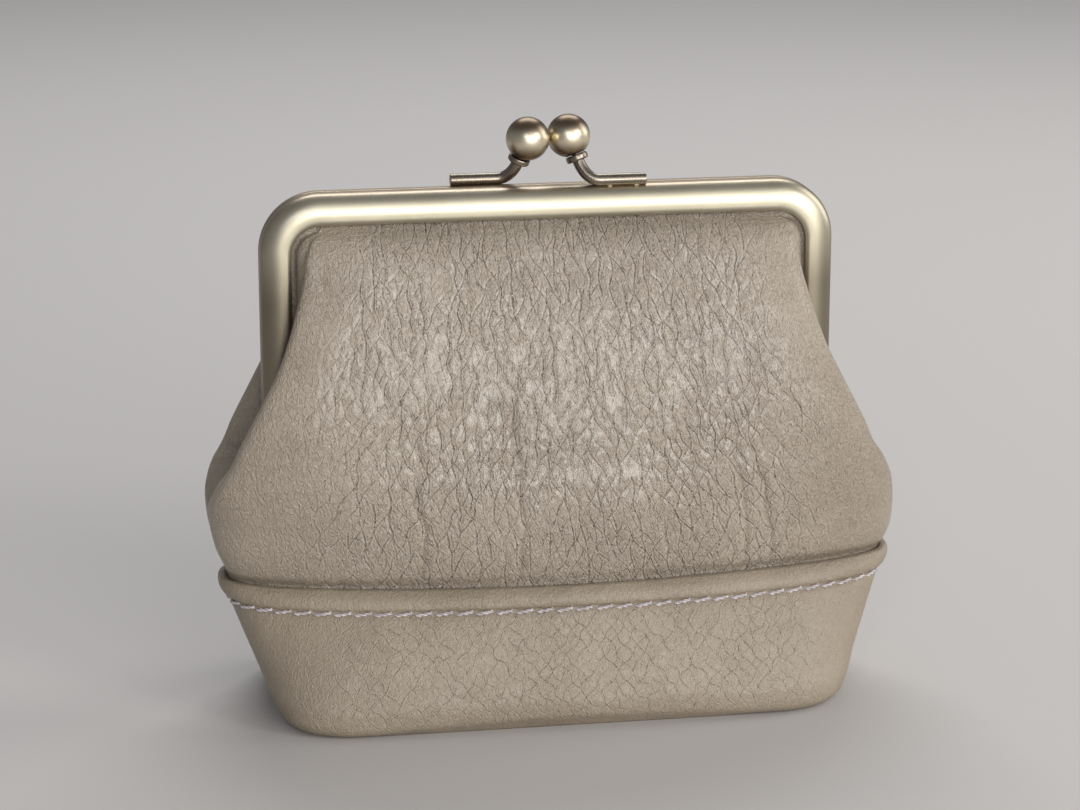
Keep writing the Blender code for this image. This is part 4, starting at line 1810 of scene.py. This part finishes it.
@dataclass
class ClaspBall(Piece):
    """A clasp ball, flat where it meets the collar, bored for the spigot."""

    radius: float = 4.5
    flat: float = 4.05
    bore: float = 1.1
    bore_length: float = 3.2
    edge: float = 0.25
    rod: FrameHalf = field(default_factory=FrameHalf)

    def build(self, half: Half, brass: Material) -> Object:
        """Builds one ball and dresses it.

        Args:
            half: Whose ball it is.
            brass: Its material.

        Returns:
            The piece.
        """
        place, _ = self.rod.stem_place()
        angle = math.degrees(math.asin(self.flat / self.radius))
        ring = arc((0.0, 0.0), self.radius, 90, -angle + 2.0, 64)
        ring[0] = (0.0, self.radius)
        rim = ring[-1][0]
        profile = ring + [(rim - self.edge, -self.flat), (self.bore, -self.flat)]
        profile += [(self.bore, self.bore_length - self.flat), (0.0, self.bore_length - self.flat)]
        thing = turned(f"{half.name.lower()}_ball_brass", profile, place, 96)
        if half is Half.BACK:
            thing.data.transform(Matrix.Rotation(math.pi, 4, "Z"))
        shaded(thing)
        return self.finished(thing, (f"{half.name.lower()}_ball",), "clasp_ball", [brass])


@dataclass
class HingeRivet(Piece):
    """A rivet through the two ears on one side, domed outside."""

    radius: float = 0.9
    head: float = 1.9
    height: float = 0.9
    crown: float = 0.45
    edge: float = 0.08

    def build(self, side: Side, brass: Material) -> Object:
        """Builds one rivet and dresses it.

        Args:
            side: Which end of the hinge axis.
            brass: Its material.

        Returns:
            The piece.
        """
        face = FRAME.width / 2 + 0.1
        back = FRAME.width / 2 - 2 * FRAME.sheet - 1.4 * FRAME.gap
        turns = [share * math.pi / 2 for share in np.linspace(0.0, 1.0, 13)]
        top = face + self.height
        dome = [(self.head * math.sin(t), top - self.crown * (1 - math.cos(t))) for t in turns]
        inside = [
            (x, back - (z - face)) for x, z in dome[::-1]
        ]
        rim, edge = self.head, self.edge
        profile = dome + [(rim, face + edge), (rim - edge, face), (self.radius, face)]
        profile += [(self.radius, back), (rim - edge, back), (rim, back - edge)] + inside
        aside = Matrix.Rotation(side.value * math.pi / 2, 4, "Y")
        place = Matrix.Translation((0.0, 0.0, FRAME.hinge * MM)) @ aside
        thing = turned(f"{side.name.lower()}_rivet_brass", profile, place, 48)
        shaded(thing)
        return self.finished(thing, (f"{side.name.lower()}_hinge_rivet",), "rivet", [brass])


@dataclass
class LeatherPanel(Piece):
    """An upper leather panel: one wall from the frame's channel down into the base, with its relief."""

    seam_y: float = 0.63
    seam_round: float = 0.95
    seam_allowance: float = 4.0
    in_channel: float = 3.6
    lip_bend: float = 1.7
    tuck: float = 9.0
    tuck_gap: float = 0.5
    lobe_in_base: float = 0.12
    lower: tuple[tuple[float, ...], ...] = (
        (0.11, 0.972, 0.950, 0.15, 0.972),
        (0.28, 0.993, 0.985, 0.18, 0.993),
        (0.47, 1.000, 1.000, 0.22, 0.999),
        (0.61, 0.996, 0.995, 0.31, 0.978),
        (0.74, 0.981, 0.980, 0.41, 0.920),
        (0.85, 0.961, 0.962, 0.48, 0.845),
        (0.925, 0.942, 0.942, 0.52, 0.768),
    )
    upper: tuple[tuple[float, ...], ...] = (
        (-0.012, 0.930, 0.930, 0.54, 0.0),
        (0.080, 0.902, 0.900, 0.57, 0.0),
        (0.165, 0.872, 0.870, 0.59, 1.0),
        (0.290, 0.828, 0.820, 0.59, 1.0),
        (0.430, 0.782, 0.750, 0.57, 1.0),
        (0.570, 0.748, 0.675, 0.53, 1.0),
        (0.690, 0.724, 0.595, 0.47, 1.0),
        (0.790, 0.707, 0.520, 0.42, 1.0),
        (0.875, 0.697, 0.445, 0.365, 1.0),
        (0.935, 0.681, 0.335, 0.300, 1.0),
        (0.968, 0.660, 0.195, 0.190, 1.0),
    )
    front_steps: int = 188
    lobe_steps: int = 30
    neck_steps: int = 9
    edge_steps: int = 3
    row_step: float = 0.41

    @property
    def channel_y(self) -> float:
        """The depth of the panel's middle in the channel."""
        return FRAME.face - FRAME.sheet - (FRAME.half_depth - 2 * FRAME.sheet) / 2

    def row(self, line: Array, neck: Point, knee: Point, edge: Point, height: float) -> Array:
        """One row of the panel's middle surface.

        Args:
            line: Its front part, from the middle to the side.
            neck: Where it comes back behind the lobe.
            knee: Where it has turned inwards.
            edge: Where it ends.
            height: Its height.

        Returns:
            Points (x, depth, height).
        """
        drop = max(line[-1][1] - neck[1], FRAME.gap)
        turn = abs(neck[1] - knee[1])
        across = knee[0] - neck[0]
        lobe = bezier(line[-1], (0.0, -0.45 * drop), neck, (0.0, -0.5 * drop), self.lobe_steps)
        bend = bezier(neck, (0.0, -0.55 * turn), knee, (0.55 * across, 0.0), self.neck_steps)
        rest = along_evenly(np.array([knee, edge], float), self.edge_steps)[1:]
        whole = np.vstack([along_evenly(line, self.front_steps), lobe, bend, rest])
        return np.column_stack([whole, np.full(len(whole), height)])

    def half_rows(self) -> Array:
        """The measured rows of one half of the panel, from the tucked edge up into the crown.

        Returns:
            Levels by columns by 3.
        """
        rows = []
        inset = BODY.base_thick + self.tuck_gap + BODY.panel_thick / 2
        for height in (BODY.belt_top - self.tuck, BODY.belt_top - self.tuck / 2, BODY.belt_top):
            wall = BODY.quarter(height, inset)
            side = wall[-1][0]
            lobe = BODY.front_reach * self.lobe_in_base
            line = np.vstack([wall[wall[:, 1] > lobe], [(side, lobe)]])
            neck = (side, self.seam_y + self.seam_round)
            knee = (side - self.seam_round, self.seam_y)
            rows.append(self.row(line, neck, knee, (side - self.seam_allowance, self.seam_y), height))
        for share, side, front, lobe, seam in self.lower:
            height = BODY.belt_top + share * (FRAME.leg_end - BODY.belt_top)
            seam_x = BODY.side_reach * seam
            neck = (seam_x, self.seam_y + self.seam_round)
            knee = (seam_x - self.seam_round, self.seam_y)
            sizes = (BODY.side_reach * side, BODY.front_reach * front, BODY.front_reach * lobe)
            line = bulge_line(*sizes, 1.6 + 0.5 * share, 0.39 + 0.08 * share)
            rows.append(self.row(line, neck, knee, (seam_x - self.seam_allowance, self.seam_y), height))
        for share, side, front, lobe, held in self.upper:
            height = FRAME.leg_end + share * (FRAME.lip - FRAME.leg_end)
            neck_x = FRAME.reach(FRAME.face_width + self.lip_bend, height)
            neck = (neck_x, FRAME.face - FRAME.sheet)
            knee = (neck_x - self.seam_round, self.seam_y)
            edge = (neck_x - self.seam_allowance, self.seam_y)
            if held:
                knee = (FRAME.reach(FRAME.face_width, height), self.channel_y)
                edge = (FRAME.reach(FRAME.face_width - self.in_channel, height), self.channel_y)
            side_x = BODY.side_reach * side
            if height > FRAME.corner_z:
                side_x = min(side_x, neck_x - FRAME.gap)
            sizes = (side_x, BODY.front_reach * front, BODY.front_reach * lobe)
            line = bulge_line(*sizes, 2.1 + 0.8 * share, 0.47)
            rows.append(self.row(line, neck, knee, edge, height))
        last = rows[-1]
        for height in (FRAME.lip, FRAME.lip + self.in_channel * 0.4, FRAME.lip + self.in_channel):
            reach = FRAME.reach(FRAME.face_width - self.in_channel, height)
            x = np.maximum.accumulate(last[:, 0]) * reach / last[-1, 0]
            rows.append(np.column_stack([x, np.full(len(x), self.channel_y), np.full(len(x), height)]))
        return np.array(rows)

    def build(self, half: Half, grain: PanelGrain, leather: Material) -> Object:
        """Builds one panel and dresses it.

        Args:
            half: Which panel.
            grain: Its relief.
            leather: Its material.

        Returns:
            The piece.
        """
        levels = self.half_rows()
        belt, lip = BODY.belt_top, FRAME.lip
        heights = np.r_[
            belt - self.tuck,
            belt - 6.0,
            belt - 3.5,
            belt - 1.8,
            np.arange(belt - 1.2, lip + 0.4, self.row_step),
            lip + 1.2,
            lip + 2.4,
            lip + self.in_channel,
        ]
        rows = eased(levels[:, 0, 2], levels, heights)
        rows[:, :, 2] = heights[:, None]
        whole = np.concatenate([rows[:, :0:-1] * (-1, 1, 1), rows], axis=1)
        middle = rows.shape[1] - 1
        lengths = np.linalg.norm(np.diff(whole, axis=1), axis=2)
        along = np.concatenate([np.zeros((len(whole), 1)), np.cumsum(lengths, axis=1)], axis=1)
        along -= along[:, middle : middle + 1]
        side = along[:, middle + self.front_steps][:, None]
        top_width = float(np.interp(lip - 2.0, heights, side[:, 0]))
        across = self.narrowed(along, side, top_width)
        height = np.repeat(heights[:, None], whole.shape[1], axis=1)
        work = grain.work(across, height, along / side)
        held = 1 - smoothstep(lip - 0.2, lip + 0.5, height)
        tucked = smoothstep(belt - 2.5, belt - 0.6, height)
        normal = facing(whole)
        lift = BODY.panel_thick / 2 + work.height * held * tucked
        outer = whole + normal * lift[:, :, None]
        keep_rows = np.unique(np.r_[0:4, 4 : len(whole) : 6, len(whole) - 4 : len(whole)])
        edge = self.lobe_steps + self.neck_steps + self.edge_steps
        wide = whole.shape[1]
        keep_columns = np.unique(np.r_[0:edge:3, edge : wide - edge : 10, wide - edge : wide : 3, wide - 1])
        inner = (whole - normal * BODY.panel_thick / 2)[np.ix_(keep_rows, keep_columns)]
        for grid in (outer, inner):
            grid[:, :, 0] = half.value * grid[:, :, 0] + BODY.lean(grid[:, :, 2], FRAME.leg_end)
            grid[:, :, 1] *= -half.value
        mesh = wall_mesh(f"{half.name.lower()}_panel", outer, inner, keep_rows, keep_columns)
        for label, lines in work.families.items():
            marked(mesh, label, lines.kept(held * tucked))
        marked(mesh, "crease", work.crease * held * tucked)
        marked(mesh, "shine", work.shine * held)
        thing = placed(f"{half.name.lower()}_panel_leather", mesh)
        shaded(thing, 75.0, False)
        return self.finished(thing, (f"{half.name.lower()}_panel",), "panel_leather", [leather])

    def narrowed(self, along: Array, side: Array, top_width: float) -> Array:
        """The place across the panel as it would be at the top, so that creases fan out at its sides.

        Args:
            along: The place along each row from the middle.
            side: Where each row reaches its side.
            top_width: The same at the top.

        Returns:
            The narrowed places.
        """
        table = np.linspace(-1.6, 1.6, 641) * top_width
        result = np.empty_like(along)
        for level in range(len(along)):
            curve = np.sign(table) * np.minimum(np.abs(table / top_width), 1.0) ** 2
            spread = 0.35 * (side[level, 0] - top_width) * curve
            result[level] = np.interp(along[level], table + spread, table)
        return result


@dataclass
class BaseCup(Piece):
    """The base: one leather wall with a flat underside and a folded edge round its top."""

    quarter_steps: int = 208
    wall_step: float = 0.42
    roll_steps: int = 18
    seam_depth: float = 0.30
    pitch: float = 4.2

    def ring(self, height: float, inset: float, arch: float) -> Array:
        """A closed ring of the base.

        Args:
            height: Its height.
            inset: How far it is moved in.
            arch: How much it follows the arch of the lower edge.

        Returns:
            Its points, from the right side by the back and the left to the front's right.
        """
        depth = float(BODY.section(np.array([height]))[0][1])
        quarter = along_evenly(BODY.quarter(height, inset), self.quarter_steps)[::-1]
        right = np.vstack([quarter, quarter[-2::-1] * (-1, 1)])
        ring = np.vstack([right, right[-2:0:-1] * (1, -1)])
        along_arch = np.clip(1 - (np.abs(ring[:, 0]) / BODY.arch_half_length) ** 2, 0.0, 1.0)
        across_arch = np.clip(np.abs(ring[:, 1]) / depth * 2 - 1, 0.0, 1.0)
        rise = BODY.arch_rise * arch * along_arch * across_arch
        ring[:, 0] += float(BODY.lean(np.array([height]), FRAME.leg_end)[0])
        return np.column_stack([ring, height + rise])

    def build(self, grains: tuple[BaseGrain, BaseGrain], leather: Material) -> Object:
        """Builds the base and dresses it.

        Args:
            grains: The relief of its front and of its back.
            leather: Its material.

        Returns:
            The piece.
        """
        foot, belt = BODY.foot, BODY.belt_top
        heights = np.r_[0.0, 0.15, 0.35, 0.6, np.arange(0.95, foot, self.wall_step), foot]
        arches = BODY.section(heights)[:, 4]
        rings = [self.ring(h, 0.0, a) for h, a in zip(heights, arches)]
        wall_count = len(rings)
        for share in np.linspace(0.0, 1.0, self.roll_steps + 1)[1:]:
            bulge = BODY.roll_bulge * (1.0 - abs(2 * share - 1) ** 2.6) + 0.28 * math.sin(math.pi * share)
            inset = -bulge if share < 1 else 0.0
            rings.append(self.ring(foot + share * BODY.roll_height * 0.93, inset, 0.0))
        for turn in np.linspace(0.15, 1.0, 6):
            over = BODY.base_thick * 0.5 * (1 - math.cos(turn * math.pi))
            rounded = 0.07 * math.sin(min(turn * 1.6, 1.0) * math.pi / 2)
            rise = BODY.roll_height * (0.93 + rounded - 0.14 * max(turn - 0.6, 0))
            rings.append(self.ring(foot + rise, over, 0.0))
        outer = np.array(rings)
        levels, count = outer.shape[:2]
        quarter = self.quarter_steps
        steps = np.linalg.norm(np.diff(outer, axis=1, append=outer[:, :1])[:, :, :2], axis=2)
        around = np.concatenate([np.zeros((levels, 1)), np.cumsum(steps, axis=1)[:, :-1]], axis=1)
        back_middle, front_middle = quarter, 3 * quarter
        behind = np.arange(count) <= 2 * quarter
        middle = np.where(behind, around[:, back_middle][:, None], around[:, front_middle][:, None])
        reach = around[:, back_middle][:, None]
        across = around - middle
        height = outer[:, :, 2]
        share = across / reach
        front = grains[0].work(across, height, share)
        rear = grains[1].work(across, height, share)
        level = np.arange(levels)[:, None]
        on_wall = (level < wall_count) * (1 - smoothstep(foot - 1.0, foot - 0.2, height))
        lift = np.where(behind, rear.height, front.height) * on_wall
        crease = np.where(behind, rear.crease, front.crease) * on_wall
        shine = np.where(behind, rear.shine, front.shine) * on_wall
        belt_length = float(steps[wall_count - 1].sum())
        stitches = round(belt_length / self.pitch)
        phase = 2 * math.pi * around / around.max(axis=1, keepdims=True).clip(1e-6) * stitches
        at_seam = np.exp(-(((height - (foot - 0.25)) / 0.55) ** 2)) * (level < wall_count + 3)
        pucker = np.exp(-np.clip(foot - height, 0, None) / 1.7) * on_wall
        lift = lift - self.seam_depth * at_seam
        lift = lift - 0.10 * pucker * (0.5 + 0.5 * np.cos(phase)) ** 2
        on_roll = (np.arange(levels)[:, None] >= wall_count) * np.ones(count)
        wrinkle = layered(around / 0.62, height / 3.2, 301) * 0.040
        wrinkle = wrinkle + layered(around / 2.3, height / 6.0, 302) * 0.05
        pinch = -0.07 * (0.5 + 0.5 * np.cos(phase)) * np.exp(-np.clip(height - foot, 0, None) / 0.9)
        lift = lift + on_roll * (wrinkle + pinch)
        # Painted shade along the sunk seam, darkest at each stitch hole, and in the hollows of the roll's
        # wrinkles.
        crease = np.maximum(crease, 0.9 * at_seam * (0.35 + 0.65 * (0.5 + 0.5 * np.cos(phase)) ** 6))
        crease = np.maximum(crease, on_roll * np.clip(-wrinkle * 7, 0, 0.4))
        out = self.outward(outer)
        outer = outer + out * lift[:, :, None]
        points = [outer.reshape(-1, 3)]
        faces = self.walls(levels, count, 0)
        start = (levels - 1) * count
        keep = np.arange(0, count, 8)
        previous = start + np.arange(count)
        inner_rings = []
        for low, inset in ((belt - 1.6, 1.0), (foot * 0.7, 1.0), (foot * 0.36, 1.0), (3.4, 1.0), (1.6, 0.5)):
            ring = self.ring(low if low > 2 else 0.6, BODY.base_thick * inset, 0.0)[keep]
            ring[:, 2] = low
            inner_rings.append(ring)
        offset = levels * count
        inside = offset + np.arange(len(inner_rings) * len(keep)).reshape(len(inner_rings), len(keep))
        for step in range(len(keep)):
            beside = (step + 1) % len(keep)
            stretch = [int(previous[(keep[step] + k) % count]) for k in range(8 + 1)]
            faces.append([int(inside[0][step]), *stretch, int(inside[0][beside])])
        for level in range(len(inner_rings) - 1):
            for step in range(len(keep)):
                beside = (step + 1) % len(keep)
                low, high = inside[level], inside[level + 1]
                faces.append([int(low[step]), int(low[beside]), int(high[beside]), int(high[step])])
        faces.append([int(spot) for spot in inside[-1]])
        faces.append(list(range(count)))
        points += inner_rings
        mesh = bpy.data.meshes.new("base")
        mesh.from_pydata((np.vstack(points) * MM).tolist(), [], faces)
        work = bmesh.new()
        work.from_mesh(mesh)
        bmesh.ops.recalc_face_normals(work, faces=work.faces)
        work.to_mesh(mesh)
        work.free()
        for label in front.families:
            kept = np.where(behind[None, :, None], rear.families[label].kept(), front.families[label].kept())
            marked(mesh, label, kept * (np.array((0, 1, 0)) * (on_wall - 1)[:, :, None] + 1))
        marked(mesh, "crease", crease)
        marked(mesh, "shine", shine)
        thing = placed("base_cup_leather", mesh)
        shaded(thing, 75.0, False)
        return self.finished(thing, ("base_cup",), "base_leather", [leather])

    def walls(self, levels: int, count: int, start: int) -> list[list[int]]:
        """The faces between closed rings of points.

        Args:
            levels: How many rings.
            count: How many points each has.
            start: The first point's number.

        Returns:
            The faces.
        """
        spots = start + np.arange(levels * count).reshape(levels, count)
        beside = np.roll(spots, -1, axis=1)
        return np.stack([spots[:-1], beside[:-1], beside[1:], spots[1:]], axis=-1).reshape(-1, 4).tolist()

    def outward(self, rings: Array) -> Array:
        """The outward directions of closed rings.

        Args:
            rings: Levels by points by 3.

        Returns:
            The directions.
        """
        wrapped = np.concatenate([rings[:, -1:], rings, rings[:, :1]], axis=1)
        normal = facing(wrapped)[:, 1:-1]
        centre = rings.mean(axis=1, keepdims=True)
        outwards = ((rings - centre) * normal).sum(axis=2).mean() > 0
        return normal if outwards else -normal


@dataclass
class StitchLine(Piece):
    """A row of twisted stitches round the foot of the base's folded edge."""

    base: BaseCup = field(default_factory=BaseCup)
    strand: float = 0.215
    twist: float = 0.185
    turns: float = 1.5
    rise: float = 0.62
    drop: float = 0.45
    below: float = 0.30
    cover: float = 0.92
    steps: int = 16
    sides: int = 8

    def build(self, thread: Material) -> Object:
        """Builds the stitches and dresses them.

        Args:
            thread: Their material.

        Returns:
            The piece.
        """
        height = BODY.foot - self.below
        ring = self.base.ring(height, 0.0, 0.0)
        closed = np.vstack([ring, ring[:1]])
        lengths = np.r_[0.0, np.cumsum(np.linalg.norm(np.diff(closed, axis=0), axis=1))]
        total = lengths[-1]
        count = round(total / self.base.pitch)
        points, faces = [], []
        for number in range(count):
            first = (number + 0.5 * (1 - self.cover)) / count * total
            last = (number + 0.5 * (1 + self.cover)) / count * total
            path, side, out = self.path(closed, lengths, first, last)
            for strand in (0.0, math.pi):
                tube_points, tube_faces = self.tube(path, side, out, strand, len(points))
                points += tube_points
                faces += tube_faces
        mesh = bpy.data.meshes.new("stitches")
        mesh.from_pydata([(x * MM, y * MM, z * MM) for x, y, z in points], [], faces)
        work = bmesh.new()
        work.from_mesh(mesh)
        bmesh.ops.recalc_face_normals(work, faces=work.faces)
        work.to_mesh(mesh)
        work.free()
        thing = placed("stitch_thread", mesh)
        shaded(thing, 60.0, False)
        return self.finished(thing, (), "", [thread])

    def path(self, closed: Array, lengths: Array, first: float, last: float) -> tuple[Array, Array, Array]:
        """The middle line of one stitch.

        Args:
            closed: The seam's line.
            lengths: How far along each of its points is.
            first: Where the stitch starts.
            last: Where it ends.

        Returns:
            Its points, and the directions up and out at each.
        """
        share = np.linspace(0.0, 1.0, self.steps + 1)
        wanted = first + (last - first) * share
        line = np.stack([np.interp(wanted, lengths, closed[:, k]) for k in range(3)], axis=1)
        ahead = np.gradient(line, axis=0)
        ahead /= np.linalg.norm(ahead, axis=1)[:, None]
        out = np.column_stack([ahead[:, 1], -ahead[:, 0], np.zeros(len(line))])
        if (out * (line * (1, 1, 0))).sum() < 0:
            out = -out
        sink = self.drop * (2.0 * np.abs(share - 0.5)) ** 5
        line = line + out * (0.26 - sink - 0.2)[:, None]
        line[:, 2] += self.rise * (share - 0.5)
        up = np.tile((0.0, 0.0, 1.0), (len(line), 1))
        return line, up, out

    def tube(
        self, path: Array, up: Array, out: Array, start: float, offset: int
    ) -> tuple[list[Point], list[list[int]]]:
        """One strand of a stitch.

        Args:
            path: The stitch's middle line.
            up: The directions up.
            out: The directions out.
            start: The angle where the strand starts.
            offset: The number of its first point.

        Returns:
            Its points and faces.
        """
        share = np.linspace(0.0, 1.0, len(path))
        turn = start + 2 * math.pi * self.turns * share
        centre = path + self.twist * (np.cos(turn)[:, None] * up + np.sin(turn)[:, None] * out)
        narrow = self.strand * (1 - 0.55 * np.abs(2 * share - 1) ** 8)
        points = []
        for level in range(len(path)):
            for step in range(self.sides):
                angle = 2 * math.pi * step / self.sides
                spoke = math.cos(angle) * up[level] + math.sin(angle) * out[level]
                points.append(tuple(centre[level] + narrow[level] * spoke))
        faces = []
        for level in range(len(path) - 1):
            for step in range(self.sides):
                a = offset + level * self.sides + step
                b = offset + level * self.sides + (step + 1) % self.sides
                faces.append([a, b, b + self.sides, a + self.sides])
        faces.append([offset + step for step in range(self.sides)])
        last = offset + (len(path) - 1) * self.sides
        faces.append([last + step for step in range(self.sides)])
        return points, faces


@dataclass
class Studio:
    """A plain pale floor, soft lights and the camera."""

    target: Point = (0.0, 0.0, 55.0)
    azimuth: float = -9.676
    elevation: float = 15.241
    distance: float = 674.9
    focal: float = 3201.7
    centre: Pair = (547.87, 436.64)
    picture: Pair = (1080.0, 810.0)
    sensor: float = 36.0
    world: Color = (0.80, 0.82, 0.86)
    world_strength: float = 0.30
    shift: float = 0.0

    def camera(self) -> None:
        """Places the camera at the photograph's viewpoint."""
        data = bpy.data.cameras.new("Camera")
        data.sensor_width = self.sensor
        data.lens = self.focal / self.picture[0] * self.sensor
        data.clip_start, data.clip_end = 0.05, 20.0
        camera = placed("Camera", data)
        a, e = math.radians(self.azimuth), math.radians(self.elevation)
        back = Vector((math.sin(a) * math.cos(e), -math.cos(a) * math.cos(e), math.sin(e)))
        right = (-back).cross(Vector((0, 0, 1))).normalized()
        up = right.cross(-back)
        aside = (self.centre[0] - self.picture[0] / 2) / self.focal * self.distance
        above = (self.centre[1] - self.picture[1] / 2) / self.focal * self.distance
        target = Vector(self.target) + Vector((self.shift, 0, 0))
        spot = target + back * self.distance - right * aside + up * above
        turn = Matrix((right, up, back)).transposed()
        camera.matrix_world = Matrix.Translation(spot * MM) @ turn.to_4x4()
        bpy.context.scene.camera = camera

    def light(self, name: str, spot: Point, aim: Point, size: Pair, power: float, color: Color) -> None:
        """Adds a soft light.

        Args:
            name: Its name.
            spot: Where it is, in metres.
            aim: What it points at.
            size: Its width and height.
            power: Its power in watts.
            color: Its colour.
        """
        data = bpy.data.lights.new(name, "AREA")
        data.shape = "RECTANGLE"
        data.size, data.size_y = size
        data.energy = power
        data.color = color
        lamp = placed(name, data)
        lamp.location = spot
        lamp.rotation_euler = (Vector(aim) - Vector(spot)).to_track_quat("-Z", "Y").to_euler()

    def build(self) -> None:
        """Builds the floor, the lights and the camera."""
        mesh = bpy.data.meshes.new("floor")
        r = 4.0
        mesh.from_pydata([(-r, -r, 0), (r, -r, 0), (r, r, 0), (-r, r, 0)], [], [(0, 1, 2, 3)])
        mesh.materials.append(FloorFinish().material())
        floor = placed("floor", mesh)
        world = bpy.data.worlds.new("Studio")
        world.use_nodes = True
        background = world.node_tree.nodes["Background"]
        background.inputs["Color"].default_value = (*self.world, 1.0)
        background.inputs["Strength"].default_value = self.world_strength
        bpy.context.scene.world = world
        bpy.context.scene.view_settings.view_transform = "Standard"
        aim = (0.0, 0.0, 0.06)
        self.light("Front window", (0.60, -1.45, 0.74), aim, (1.5, 1.1), 7.4, (1.0, 0.985, 0.96))
        self.light("Front low", (0.35, -1.60, 0.26), aim, (1.2, 0.4), 12.5, (1.0, 0.985, 0.96))
        self.light("Right key", (0.98, -0.92, 0.60), aim, (0.50, 0.50), 5.0, (1.0, 0.985, 0.96))
        self.light("Right side", (1.00, 0.10, 0.50), aim, (0.5, 0.8), 3.8, (1.0, 0.99, 0.97))
        self.light("Left cool", (-0.36, -1.25, 0.66), aim, (0.30, 0.30), 2.2, (0.86, 0.89, 1.0))
        self.light("Top back", (0.15, 0.75, 0.95), aim, (0.9, 0.5), 7.0, (0.96, 0.98, 1.0))
        self.camera()


def main() -> None:
    """Builds the pouch piece by piece, then the studio."""
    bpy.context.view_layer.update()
    low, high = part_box("front_frame")
    shift = (low.x + high.x) / 2 / MM
    groups = EffectGroups()
    brass = BrassFinish("Antique brass").material(groups)
    rod_brass = BrassFinish(
        "Dark rod brass",
        bright=(0.420, 0.370, 0.305),
        dull=(0.270, 0.235, 0.190),
        brown=(0.110, 0.082, 0.062),
        gone_beyond=0.006,
        patina=0.5,
        roughness=(0.26, 0.38),
    ).material(groups)
    ball_brass = BrassFinish(
        "Ball brass",
        bright=(0.740, 0.660, 0.500),
        dull=(0.600, 0.520, 0.380),
        brown=(0.165, 0.105, 0.060),
        # The balls' top and bottom take this painted dark reflection.
        painted_dark_reflection=(0.130, 0.082, 0.048),
        roughness=(0.34, 0.37),
        patina=0.10,
        poles=(0.119, 0.0045, 0.93),
    ).material(groups)
    for half in Half:
        FrameHalf(shift).build(half, brass, rod_brass)
        ClaspBall(shift).build(half, ball_brass)
    for side in Side:
        HingeRivet(shift).build(side, brass)
    leather = LeatherFinish("Panel leather").material(groups)
    upright = Creases(2.3, 7.0, 0.17, 0.32, 0.30, 3.0, 11, 0.42)
    slanting = Creases(2.4, 7.0, 0.15, 0.26, 0.45, 28.0, 23, 0.38)
    counter = Creases(2.5, 7.5, 0.15, 0.26, 0.40, -28.0, 29, 0.38)
    fine = Creases(1.2, 4.0, 0.25, 0.25, 0.25, 14.0, 37, 0.25)
    deep = (
        DeepCrease(-27.0, 30.0, 64.0, 0.34),
        DeepCrease(-9.5, 30.0, 70.0, 0.30),
        DeepCrease(33.5, 30.0, 60.0, 0.30),
        DeepCrease(37.0, 30.0, 56.0, 0.26),
    )
    for number, half in enumerate(Half):
        grain = PanelGrain(100 + 200 * number, upright, slanting, counter, fine, deep)
        LeatherPanel(shift).build(half, grain, leather)
    base_leather = LeatherFinish(
        "Base leather",
        low=(0.244, 0.197, 0.143),
        high=(0.296, 0.242, 0.178),
        # Lighter than the leather: a painted highlight along the base's grooves.
        line=(0.385, 0.330, 0.258),
        painted_sheen=(0.400, 0.345, 0.275),
        coat=(0.08, 0.30),
        coat_roughness=0.36,
        roughness=(0.42, 0.50),
        groove_shading_share=0.60,
        # Painted highlight on the base's crease lips.
        lip_share=0.40,
        groove_depth=0.00010,
        wrinkle_depth=0.00009,
    ).material(groups)
    net = Creases(2.1, 5.0, 0.24, 0.34, 0.50, 41.0, 61, 0.40)
    cross = Creases(2.2, 5.0, 0.24, 0.34, 0.35, -38.0, 67, 0.38)
    cup = BaseCup(shift)
    cup.build((BaseGrain(400, net, cross), BaseGrain(500, net, cross)), base_leather)
    StitchLine(shift, cup).build(ThreadFinish().material(groups))
    Studio(shift=shift).build()


if __name__ == "__main__":
    main()
